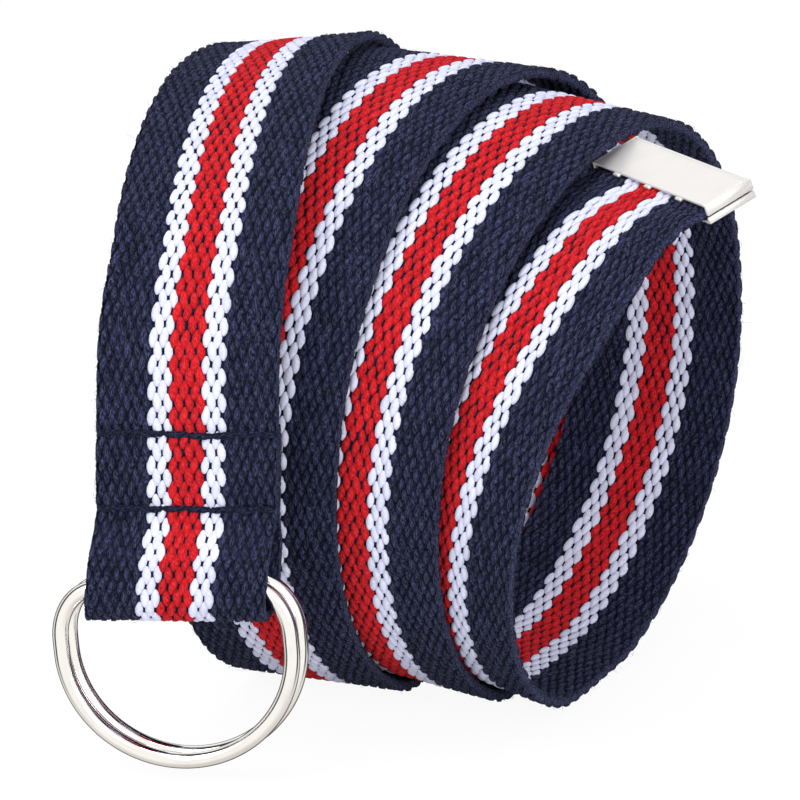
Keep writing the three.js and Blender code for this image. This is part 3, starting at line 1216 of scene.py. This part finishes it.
    def build(self, finishes: Finishes) -> list[bpy.types.Object]:
        """Makes the cloth.

        Args:
            finishes: The belt's finishes.

        Returns:
            The ground first, then the pieces that lie on it.
        """
        by_yarn = {yarn: [c for c in range(self.columns) if self.yarn_of(c) is yarn] for yarn in Yarn}
        pieces = [self.ground(finishes.ground)]
        half = self.white_columns
        for name, columns in (
            ("loops_white_left", by_yarn[Yarn.WHITE][:half]),
            ("loops_white_right", by_yarn[Yarn.WHITE][half:]),
        ):
            pieces.append(self.loops(name, columns, self.forms[Yarn.WHITE], finishes.yarns[Yarn.WHITE]))
        pieces.append(
            self.loops("loops_red", by_yarn[Yarn.RED], self.forms[Yarn.RED], finishes.yarns[Yarn.RED])
        )
        navy = np.array_split(np.array(by_yarn[Yarn.NAVY]), self.navy_pieces)
        for number, columns in enumerate(navy):
            name = f"loops_navy_{number + 1}"
            pieces.append(
                self.loops(name, columns.tolist(), self.forms[Yarn.NAVY], finishes.yarns[Yarn.NAVY])
            )
        for name, sign in (("selvedge_left", -1.0), ("selvedge_right", 1.0)):
            pieces.append(self.selvedge(name, sign, finishes.yarns[Yarn.NAVY]))
        return pieces


@dataclass
class SeamStitches:
    """Two rows of thick thread that close the fold, seen on its front and on the tail behind.

    Attributes:
        ribbon: How the strap lies.
        width: The strap's width.
        surface: Height of the cloth's surface over its middle plane.
        stitch_length: Length of one stitch.
        thread_radius: The thread's radius.
        lay_length: Distance along the thread for one turn of its two plies.
        edge_margin: Distance of the rows' ends from the edge.
        step: Distance between the thread's sections.
        sides: Points round a section.
    """

    ribbon: Ribbon
    width: float = 38 * MM
    surface: float = 1.3 * MM
    stitch_length: float = 4.95 * MM
    thread_radius: float = 0.68 * MM
    lay_length: float = 2.6 * MM
    edge_margin: float = 0.6 * MM
    step: float = 0.25 * MM
    sides: int = 10
    seed: int = 23

    def row(self, seam: float, rng: np.random.Generator) -> tuple[np.ndarray, np.ndarray]:
        """One row of stitches: a thread that dips into the cloth between them.

        Args:
            seam: The row's distance along the strap.
            rng: The source of its unevenness.

        Returns:
            The points of each section, and their places on the yarn.
        """
        half = self.width / 2 - self.edge_margin
        across = np.arange(-half, half, self.step)
        stitch = across / self.stitch_length + rng.uniform(0, 1)
        rise = np.abs(np.sin(np.pi * stitch)) ** 0.55
        number = np.floor(stitch).astype(int)
        number -= number.min()
        slant = rng.normal(0, 0.16 * MM, number.max() + 1)[number] * (stitch % 1 - 0.5)
        wander = np.interp(across, np.linspace(-half, half, 9), rng.normal(0, 0.14 * MM, 9))
        turn = 2 * np.pi * np.arange(self.sides) / self.sides
        twist = 2 * np.pi * across / self.lay_length
        lobes = 1 + 0.1 * np.cos(2 * (turn[None, :] - twist[:, None]))
        radius = (self.thread_radius * (0.7 + 0.3 * rise))[:, None] * lobes
        along = (seam + slant + wander)[:, None] + radius * np.cos(turn)
        height = (self.surface - 0.5 * MM + 0.7 * MM * rise)[:, None] + radius * np.sin(turn) * 0.85
        place = np.broadcast_to(across[:, None], along.shape)
        around = np.broadcast_to(turn[None, :] * self.thread_radius / MM, along.shape)
        return self.ribbon.place(along, place, height), np.stack([place / MM, around], axis=-1)

    def build(self, finishes: Finishes) -> bpy.types.Object:
        """Makes all the rows as one mesh.

        Args:
            finishes: The belt's finishes.

        Returns:
            The piece.
        """
        rng = np.random.default_rng(self.seed)
        points, quads, lids, yarn = [], [], [], []
        base = 0
        lid = np.arange(self.sides)
        for seam in self.ribbon.seams:
            places, uv = self.row(seam, rng)
            count = len(places)
            points.append(places.reshape(-1, 3))
            yarn.append(uv.reshape(-1, 2))
            quads.append(grid_faces(count, self.sides, False, True)[:, ::-1] + base)
            lids.append(np.stack([lid, lid[::-1] + (count - 1) * self.sides]) + base)
            base += count * self.sides
        every = np.concatenate(points)
        return mesh_object(
            "seam_stitches",
            every,
            [np.concatenate(quads), np.concatenate(lids)],
            finishes.thread,
            np.concatenate(yarn),
            np.ones(len(every)),
        )


@dataclass
class StrayFibres:
    """Fine fibres that stand off the cotton, thickest along the edges.

    Attributes:
        ribbon: How the strap lies.
        width: The strap's width.
        surface: Height of the cloth's surface over its middle plane.
        on_faces: Fibres on the two faces.
        on_edges: Fibres on the two edges.
        radius: A fibre's radius.
        reach: Length of a fibre.
        lift: How far a fibre's middle stands off.
    """

    ribbon: Ribbon
    width: float = 38 * MM
    surface: float = 1.25 * MM
    on_faces: int = 2000
    on_edges: int = 2800
    radius: float = 0.03 * MM
    reach: float = 2.2 * MM
    lift: float = 0.35 * MM
    seed: int = 31

    def build(self, finishes: Finishes) -> bpy.types.Object:
        """Makes the fibres as one mesh of thin three-sided strands.

        Args:
            finishes: The belt's finishes.

        Returns:
            The piece.
        """
        rng = np.random.default_rng(self.seed)
        many = self.on_faces + self.on_edges
        edge = np.arange(many) >= self.on_faces
        along = rng.uniform(2 * MM, self.ribbon.length - 14 * MM, many)
        band = rng.uniform(8 * MM, self.width / 2, many) * rng.choice([-1, 1], many)
        rim = (self.width / 2 - 0.3 * MM) * rng.choice([-1, 1], many)
        across = np.where(edge, rim, band)
        height = np.where(edge, rng.uniform(-1, 1, many) * self.surface, self.surface * rng.choice([-1, 1], many))
        free = ~(self.ribbon.in_fold(along) & (edge | (height < 0)))
        edge, along, across, height = edge[free], along[free], across[free], height[free]
        many = len(along)
        angle = rng.uniform(0, 2 * np.pi, many)
        length = self.reach * rng.uniform(0.4, 1.2, many)
        rise = self.lift * rng.uniform(0.2, 1.3, many) * np.where(edge, 1.5, 1.0)
        share = np.linspace(0, 1, 4)[None, :]
        bow = np.sin(np.pi * share * rng.uniform(0.55, 1.0, (many, 1)))
        curl = rng.normal(0, 0.25, (many, 1)) * length[:, None] * share * share
        u = np.cos(angle)[:, None] * length[:, None] * share - np.sin(angle)[:, None] * curl
        w = np.sin(angle)[:, None] * length[:, None] * share + np.cos(angle)[:, None] * curl
        side = np.sign(across)[:, None]
        lift_across = np.where(edge[:, None], side * rise[:, None] * bow, w)
        lift_height = np.where(
            edge[:, None], w * 0.35, np.sign(height)[:, None] * rise[:, None] * bow
        )
        line = self.ribbon.place(
            along[:, None] + u, across[:, None] + lift_across, height[:, None] + lift_height
        )
        tangent = unit(np.gradient(line, axis=1))
        helper = unit(rng.normal(0, 1, (many, 1, 3)))
        one = unit(np.cross(tangent, helper))
        two = np.cross(tangent, one)
        taper = self.radius * (1 - 0.6 * share)[..., None]
        turns = 2 * np.pi * np.arange(3) / 3
        strands = np.stack(
            [line + taper * (one * math.cos(t) + two * math.sin(t)) for t in turns], axis=2
        )
        base = (np.arange(many) * 12)[:, None, None]
        quads = (base + grid_faces(4, 3, False, True)[None, :, :]).reshape(-1, 4)
        lids = (base + np.array([[2, 1, 0], [9, 10, 11]])[None, :, :]).reshape(-1, 3)
        yarn = np.zeros((many * 12, 2))
        shade = np.repeat(rng.uniform(1.2, 4.0, many), 12)
        return mesh_object(
            "stray_fibres", strands.reshape(-1, 3), [quads, lids], finishes.yarns[Yarn.NAVY], yarn, shade
        )


@dataclass
class RingPair:
    """The two D-rings of bent round wire, whose bars lie side by side in the fold.

    Attributes:
        route: How the strap lies.
        bar_lift: Height of the bars over the bend's centre.
        ring_tilt: How far the bars tip in the fold, in degrees.
        shoulder_inset: How far inside the strap's edges the bar starts to bend.
        shoulder_width: Width of the bend.
        shoulder_drop: Height of the bend.
        ring_drop: From the bar to the bottom of the ring.
        shifts: How far the front and back rings lie along the fold.
        joint_gap: Gap where the wire's ends meet, in the middle of the bar.
    """

    route: StrapRoute
    bar_lift: float = 0.8 * MM
    ring_tilt: float = 1.7
    shoulder_inset: float = 3.4 * MM
    shoulder_width: float = 8.5 * MM
    shoulder_drop: float = 11 * MM
    ring_drop: float = 37.8 * MM
    shifts: tuple[float, float] = (-2.6 * MM, -1.6 * MM)
    joint_gap: float = 0.25 * MM
    sides: int = 24

    def line(self) -> np.ndarray:
        """The wire's middle line in its own plane, from one end at the joint round to the other.

        Returns:
            Across and down from the middle of the bar, a row for each point.
        """
        bar_half = self.route.width / 2 - self.shoulder_inset
        bow_radius = bar_half + self.shoulder_width
        bow_depth = self.ring_drop - bow_radius
        turn = np.linspace(0, np.pi / 2, 17)
        shoulder = np.stack(
            [
                bar_half + self.shoulder_width * np.sin(turn),
                min(self.shoulder_drop, bow_depth) * (1 - np.cos(turn)),
            ],
            axis=1,
        )
        bar = np.stack([np.linspace(self.joint_gap / 2, bar_half, 7)[:-1], np.zeros(6)], axis=1)
        turn = np.linspace(0, np.pi, 73)
        bow = np.stack([bow_radius * np.cos(turn), bow_depth + bow_radius * np.sin(turn)], axis=1)
        half = np.concatenate([bar, shoulder])
        mirror = half[::-1] * np.array([-1, 1])
        return np.concatenate([half, bow, mirror])

    def ring(self, name: str, offset: float, shift: float, material: bpy.types.Material) -> bpy.types.Object:
        """One ring.

        Args:
            name: The piece's name.
            offset: Its bar's distance in front of the fold's middle plane.
            shift: Its place along the fold.
            material: Its finish.

        Returns:
            The piece.
        """
        fold = self.route.fold_frame()
        tilt = math.radians(self.ring_tilt)
        across = unit(fold.across * math.cos(tilt) - fold.down * math.sin(tilt))
        hang = np.array([0.0, 0.0, -1.0])
        hang = unit(hang - across * hang.dot(across))
        square = unit(np.cross(across, hang))
        bar = (
            fold.centre
            + fold.down * (self.route.bend_depth - self.bar_lift)
            + fold.out * offset
            + fold.across * shift
            + self.route.shift()
        )
        flat = self.line()
        flat = flat[np.concatenate([[True], np.linalg.norm(np.diff(flat, axis=0), axis=1) > 1e-7])]
        line = bar + flat[:, :1] * across + flat[:, 1:] * hang
        tangent = unit(np.gradient(line, axis=0))
        outward = unit(np.cross(tangent, square))
        radius = np.full(len(line), self.route.wire_diameter / 2)
        radius[[0, -1]] *= 0.8
        line = np.concatenate([line[:1], line[:1] + tangent[:1] * 0.15 * MM, line[1:-1],
                               line[-1:] - tangent[-1:] * 0.15 * MM, line[-1:]])
        tangent_frame = np.concatenate([outward[:1], outward, outward[-1:]])
        radius = np.concatenate([radius[:1], [self.route.wire_diameter / 2], radius[1:-1],
                                 [self.route.wire_diameter / 2], radius[-1:]])
        turn = -2 * np.pi * np.arange(self.sides) / self.sides
        points = (
            line[:, None, :]
            + radius[:, None, None] * np.cos(turn)[None, :, None] * tangent_frame[:, None, :]
            + radius[:, None, None] * np.sin(turn)[None, :, None] * square[None, None, :]
        )
        rows = len(line)
        quads = grid_faces(rows, self.sides, False, True)
        lid = np.arange(self.sides)
        lids = np.stack([lid[::-1], lid + (rows - 1) * self.sides])
        return mesh_object(name, points.reshape(-1, 3), [quads, lids], material)

    def build(self, finishes: Finishes) -> list[bpy.types.Object]:
        """Makes both rings.

        Args:
            finishes: The belt's finishes.

        Returns:
            The front ring and the back one.
        """
        offset = self.route.bar_offset
        return [
            self.ring("d_ring_front", offset, self.shifts[0], finishes.nickel),
            self.ring("d_ring_back", -offset, self.shifts[1], finishes.nickel),
        ]


@dataclass
class CrimpedCap:
    """The metal cap over the free end: two plates joined past the strap's end, with turned-in rims.

    Attributes:
        ribbon: How the strap lies.
        width: The strap's width.
        strap_thickness: The strap's thickness.
        sheet: Thickness of the metal.
        length: Length of the cap along the strap.
        clearance: Room between the strap and the metal.
        corner: Radius of the folded end.
        upper_rim: How far the upper plate's sides turn down.
        lower_rim: How far the lower plate's sides turn up.
        groove: How far before the folded end a fine groove runs.
        groove_width: Its width.
        teeth: Teeth along the mouth of each plate.
        tooth_width: Width of a tooth.
        tooth_reach: How far a tooth stands out of the mouth.
    """

    ribbon: Ribbon
    width: float = 38 * MM
    strap_thickness: float = 2.6 * MM
    sheet: float = 0.6 * MM
    length: float = 12 * MM
    clearance: float = 0.3 * MM
    corner: float = 0.9 * MM
    upper_rim: float = 2.5 * MM
    lower_rim: float = 1.55 * MM
    groove: float = 1.25 * MM
    groove_width: float = 0.4 * MM
    teeth: int = 3
    tooth_width: float = 2.0 * MM
    tooth_reach: float = 0.6 * MM

    def profile(self) -> np.ndarray:
        """The folded sheet's section along the strap, as a closed outline.

        Returns:
            Distance past the strap's end and height over its middle plane.
        """
        inner = self.strap_thickness / 2 + self.clearance
        outer = inner + self.sheet
        mouth = self.clearance + self.sheet - self.length
        end = self.clearance + self.sheet
        turn = np.linspace(np.pi / 2, 0, 7)
        out_r, in_r = self.corner, self.corner - self.sheet * 0.75
        lip, guard = 0.12 * MM, 0.06 * MM
        near, far = end - self.groove - self.groove_width / 2, end - self.groove + self.groove_width / 2
        upper = [(mouth + lip, outer), (mouth + lip + guard, outer), (near - guard, outer), (near, outer)]
        upper += [((near + far) / 2, outer - self.groove_width / 2), (far, outer), (far + guard, outer)]
        upper += [(end - out_r + out_r * math.cos(t), outer - out_r + out_r * math.sin(t)) for t in turn]
        lower = [(x, -y) for x, y in upper[::-1]]
        hollow = [(mouth, -inner - lip), (mouth + lip, -inner)]
        hollow += [
            (end - self.sheet - in_r + in_r * math.cos(t), -inner + in_r - in_r * math.sin(t)) for t in turn
        ]
        back = [(x, -y) for x, y in hollow[::-1]]
        return np.array(upper + lower + [(mouth, -outer + lip)] + hollow + back + [(mouth, outer - lip)])

    def slab(self, low: Sequence[float], high: Sequence[float], soften: float) -> tuple[np.ndarray, np.ndarray]:
        """A small plate with softened edges, in the cap's own measure.

        Args:
            low: Lowest past the end, across and height.
            high: Highest of the same.
            soften: How far its edges are taken back.

        Returns:
            Vertices and quads.
        """
        low, high = np.array(low), np.array(high)
        rings = []
        for z, inset in ((0, soften), (soften, 0), (high[2] - low[2] - soften, 0), (high[2] - low[2], soften)):
            a, b = low[:2] + inset, high[:2] - inset
            s = soften * 0.6
            rings += [
                (a[0] + s, a[1], low[2] + z), (b[0] - s, a[1], low[2] + z),
                (b[0], a[1] + s, low[2] + z), (b[0], b[1] - s, low[2] + z),
                (b[0] - s, b[1], low[2] + z), (a[0] + s, b[1], low[2] + z),
                (a[0], b[1] - s, low[2] + z), (a[0], a[1] + s, low[2] + z),
            ]
        return np.array(rings), grid_faces(4, 8, False, True)

    def build(self, finishes: Finishes) -> bpy.types.Object:
        """Makes the cap as one mesh.

        Args:
            finishes: The belt's finishes.

        Returns:
            The piece.
        """
        end = self.ribbon.length
        middle, width, normal = (v[0] for v in self.ribbon.sample(np.array([end])))
        heading = unit(middle - self.ribbon.sample(np.array([end - 8 * MM]))[0][0])
        profile = self.profile()
        half = self.width / 2 + self.clearance
        edge = 0.18 * MM
        rim = np.array([0, edge, 1.4 * edge])
        spots = np.concatenate([rim - half, np.linspace(-half, half, 27)[1:-1], half - rim[::-1]])
        inner = self.strap_thickness / 2 + self.clearance
        mid_sheet = inner + self.sheet / 2
        points = []
        for spot in spots:
            shrink = 0.55 if abs(abs(spot) - half) < 1e-9 else 1.0
            run = profile[:, 0]
            out = profile[:, 1]
            out = np.where(np.abs(out) > inner * 0.4, np.sign(out) * (mid_sheet + (np.abs(out) - mid_sheet) * shrink), out)
            points.append(np.stack([run, np.full(len(run), spot), out], axis=1))
        rows, columns = len(spots), len(profile)
        blocks = [grid_faces(rows, columns, False, True)]
        lid = np.arange(columns)
        body = np.concatenate(points)
        vertices = [body]
        lids = np.stack([lid[::-1], lid + (rows - 1) * columns])
        slabs = []
        mouth = self.clearance + self.sheet - self.length
        stop = self.clearance + self.sheet
        outer = inner + self.sheet
        for sign in (-1, 1):
            near, far = sorted((sign * (half - 0.15 * MM), sign * (half + self.sheet)))
            slabs.append(self.slab((mouth, near, outer - self.upper_rim), (stop, far, outer), 0.2 * MM))
            slabs.append(self.slab((mouth, near, -outer), (stop, far, -outer + self.lower_rim), 0.2 * MM))
        spots_of_teeth = (np.arange(self.teeth) + 0.5) / self.teeth * 2 - 1
        for spot in spots_of_teeth * (half - 3 * MM):
            for sign in (-1, 1):
                low, high = sorted((sign * (inner - 0.35 * MM), sign * (inner + 0.3 * MM)))
                slabs.append(
                    self.slab(
                        (mouth - self.tooth_reach, spot - self.tooth_width / 2, low),
                        (mouth + 0.4 * MM, spot + self.tooth_width / 2, high),
                        0.12 * MM,
                    )
                )
        tops = []
        base = len(body)
        for points_of, quads in slabs:
            vertices.append(points_of)
            blocks.append(quads + base)
            ring = np.arange(8)
            tops.append(np.stack([ring[::-1], ring + 24]) + base)
            base += len(points_of)
        every = np.concatenate(vertices)
        place = middle + every[:, :1] * heading + every[:, 1:2] * width + every[:, 2:] * normal
        return mesh_object(
            "crimped_cap", place, [np.concatenate(blocks), lids, np.concatenate(tops)], finishes.cap
        )


@dataclass
class Studio:
    """The pale floor, the soft lights and the camera.

    Attributes:
        shift: How far the solid model was moved to its origin.
        azimuth: The camera's turn round the belt, in degrees.
        elevation: The camera's height angle, in degrees.
        distance: The camera's distance from its target.
        target_height: The target's height.
        lens: The lens, in millimetres, on a sensor of 36.
        fill: Colour of the room's light for the cloth.
        floor_glow: Brightness of the sheet for the camera.
        flag_bands: A thin dark flag round the belt, as darkness at places from behind it to its front.
        flag_heights: How much of the flag there is from below to above.
        behind_bands: The dark end of the room behind the belt.
        behind_heights: How much of that there is from below to above.
    """

    shift: np.ndarray
    azimuth: float = 27.0
    elevation: float = 17.7
    distance: float = 1.2
    target_height: float = 59.5 * MM
    lens: float = 250.9
    fill: tuple[float, float, float] = (0.54, 0.55, 0.64)
    floor_glow: float = 0.93
    flag_bands: tuple[tuple[float, float], ...] = (
        (-0.36, 0.0), (-0.22, 0.6), (-0.06, 1.0), (0.17, 1.0), (0.25, 0.0), (0.96, 0.0), (1.0, 0.05),
    )
    flag_heights: tuple[tuple[float, float], ...] = ((-0.7, 0.0), (-0.42, 0.94))
    behind_bands: tuple[tuple[float, float], ...] = ((-0.76, 0.92), (-0.64, 0.66), (-0.4, 0.0))
    behind_heights: tuple[tuple[float, float], ...] = ((0.2, 1.0), (0.38, 0.0))

    def back(self, azimuth: float, elevation: float) -> Vector:
        """The direction from the belt towards a place round it.

        Args:
            azimuth: Turn round the belt, in degrees.
            elevation: Angle over the floor, in degrees.

        Returns:
            The unit vector.
        """
        a, e = math.radians(azimuth), math.radians(elevation)
        return Vector((math.sin(a) * math.cos(e), -math.cos(a) * math.cos(e), math.sin(e)))

    def camera(self) -> bpy.types.Object:
        """Sets up the camera at the photograph's angle."""
        data = bpy.data.cameras.new("camera")
        data.lens = self.lens
        data.sensor_width = 36.0
        data.clip_end = 20.0
        camera = bpy.data.objects.new("camera", data)
        target = Vector((self.shift[0], self.shift[1], self.target_height + self.shift[2]))
        back = self.back(self.azimuth, self.elevation)
        camera.location = target + back * self.distance
        camera.rotation_euler = back.to_track_quat("Z", "Y").to_euler()
        bpy.context.scene.collection.objects.link(camera)
        bpy.context.scene.camera = camera
        return camera

    def light(self, name: str, azimuth: float, elevation: float, distance: float, size: float,
              power: float) -> None:
        """A soft square light that faces the belt.

        Args:
            name: The light's name.
            azimuth: Its turn round the belt, in degrees.
            elevation: Its height angle, in degrees.
            distance: Its distance.
            size: Its side.
            power: Its power, in watts.
        """
        data = bpy.data.lights.new(name, "AREA")
        data.size = size
        data.energy = power
        lamp = bpy.data.objects.new(name, data)
        back = self.back(azimuth, elevation)
        lamp.location = Vector((0, 0, 0.06)) + back * distance
        lamp.rotation_euler = back.to_track_quat("Z", "Y").to_euler()
        bpy.context.scene.collection.objects.link(lamp)

    def floor(self) -> None:
        """A wide white sheet with a faint shadow on it, in whose place the metal mirrors the room."""
        material, nodes = new_material("white sheet")
        path = nodes.add("ShaderNodeLightPath").outputs
        sheet = nodes.add("ShaderNodeBsdfDiffuse", Color=(0.78, 0.78, 0.78, 1)).outputs[0]
        open_air = nodes.add("ShaderNodeBsdfTransparent").outputs[0]
        bounce = nodes.add(
            "ShaderNodeMixShader", in0=path["Is Glossy Ray"], in1=sheet, in2=open_air
        ).outputs[0]
        glow = nodes.add("ShaderNodeEmission", Color=(1, 1, 1, 1), Strength=self.floor_glow).outputs[0]
        shadow = nodes.add("ShaderNodeBsdfDiffuse", Color=(0.1, 0.1, 0.1, 1)).outputs[0]
        seen = nodes.add("ShaderNodeAddShader", in0=glow, in1=shadow).outputs[0]
        mixed = nodes.add("ShaderNodeMixShader", in0=path["Is Camera Ray"], in1=bounce, in2=seen)
        nodes.add("ShaderNodeOutputMaterial", Surface=mixed.outputs[0])
        side = 6.0
        corners = np.array([(-side, -side, 0), (side, -side, 0), (side, side, 0), (-side, side, 0)])
        floor = mesh_object("floor", corners - np.array([0, 0, 0.0001]), [np.array([[0, 1, 2, 3]])], material)

    def world(self) -> None:
        """A white room with dark flags, which the polished metal mirrors as dark lines."""
        world = bpy.data.worlds.new("studio")
        world.use_nodes = True
        nodes = Nodes(world.node_tree)
        path = nodes.add("ShaderNodeLightPath").outputs
        direction = nodes.add("ShaderNodeTexCoord").outputs["Generated"]
        back = tuple(self.back(self.azimuth, self.elevation))
        facing = nodes.add(
            "ShaderNodeVectorMath", {"operation": "DOT_PRODUCT"}, in0=direction, in1=back
        ).outputs["Value"]
        upward = nodes.add("ShaderNodeSeparateXYZ", Vector=direction).outputs["Z"]
        dark = [
            nodes.math("MULTIPLY", self.bands(nodes, facing, along), self.bands(nodes, upward, heights))
            for along, heights in (
                (self.flag_bands, self.flag_heights),
                (self.behind_bands, self.behind_heights),
            )
        ]
        bright = nodes.math("SUBTRACT", 1.0, nodes.math("MAXIMUM", dark[0], dark[1]))
        above = nodes.add("ShaderNodeMapRange", Value=upward, From_Min=-0.85, From_Max=-0.4).outputs[0]
        tint = nodes.mix(above, colour(220, 215, 210), colour(255, 254, 251))
        mirrored = nodes.add("ShaderNodeVectorMath", {"operation": "SCALE"}, in0=tint, Scale=bright)
        level = nodes.mix(path["Is Glossy Ray"], (*self.fill, 1), mirrored.outputs[0])
        shown = nodes.mix(path["Is Camera Ray"], level, (1, 1, 1, 1))
        background = nodes.add("ShaderNodeBackground", Color=shown, Strength=1.0)
        nodes.add("ShaderNodeOutputWorld", Surface=background.outputs[0])
        bpy.context.scene.world = world

    @staticmethod
    def bands(
        nodes: Nodes, value: bpy.types.NodeSocket, stops: Sequence[tuple[float, float]]
    ) -> bpy.types.NodeSocket:
        """Light and dark bands along one axis of the room.

        Args:
            nodes: The world's nodes.
            value: A direction's part along the axis, from -1 to 1.
            stops: Places along the axis with the brightness at each.

        Returns:
            The brightness.
        """
        ramp = nodes.add("ShaderNodeValToRGB", Fac=nodes.math("MULTIPLY_ADD", value, 0.5, 0.5))
        bar = ramp.color_ramp
        while len(bar.elements) < len(stops):
            bar.elements.new(0.5)
        for element, (position, level) in zip(bar.elements, stops):
            element.position = (position + 1) / 2
            element.color = (level, level, level, 1)
        return ramp.outputs[0]

    def build(self) -> None:
        """Makes the studio."""
        self.camera()
        self.floor()
        self.world()
        self.light("key", -20, 42, 1.3, 0.9, 6.9)
        self.light("front", 50, 25, 1.5, 0.9, 3.4)
        self.light("hollow", 66, 10, 1.2, 0.5, 4.2)
        self.light("top", 10, 82, 1.3, 0.7, 4.4)
        view = bpy.context.scene.view_settings
        view.view_transform = "Standard"
        view.look = "None"


def report(piece: bpy.types.Object) -> None:
    """Logs a piece's name and its count of faces."""
    LOG.info("%s: %d faces", piece.name, len(piece.data.polygons))


def main() -> None:
    """Builds the belt and the studio, and ties each piece to the frame."""
    logging.basicConfig(level=logging.INFO, format="%(message)s")
    route = StrapRoute()
    Studio(route.shift()).build()
    ribbon = route.ribbon()
    finishes = Finishes.build()
    cloth = Webbing(ribbon).build(finishes)
    cloth.append(SeamStitches(ribbon).build(finishes))
    cloth.append(StrayFibres(ribbon).build(finishes))
    for piece in cloth:
        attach(piece, "belt")
        report(piece)
    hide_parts("strap")
    for piece, body, node in zip(
        RingPair(route).build(finishes), ("front_ring", "back_ring"), ("ring_front", "ring_back")
    ):
        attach(piece, body)
        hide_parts(node)
        report(piece)
    cap = CrimpedCap(ribbon).build(finishes)
    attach(cap, "belt")
    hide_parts("tip")
    report(cap)
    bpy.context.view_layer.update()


if __name__ == "__main__":
    main()
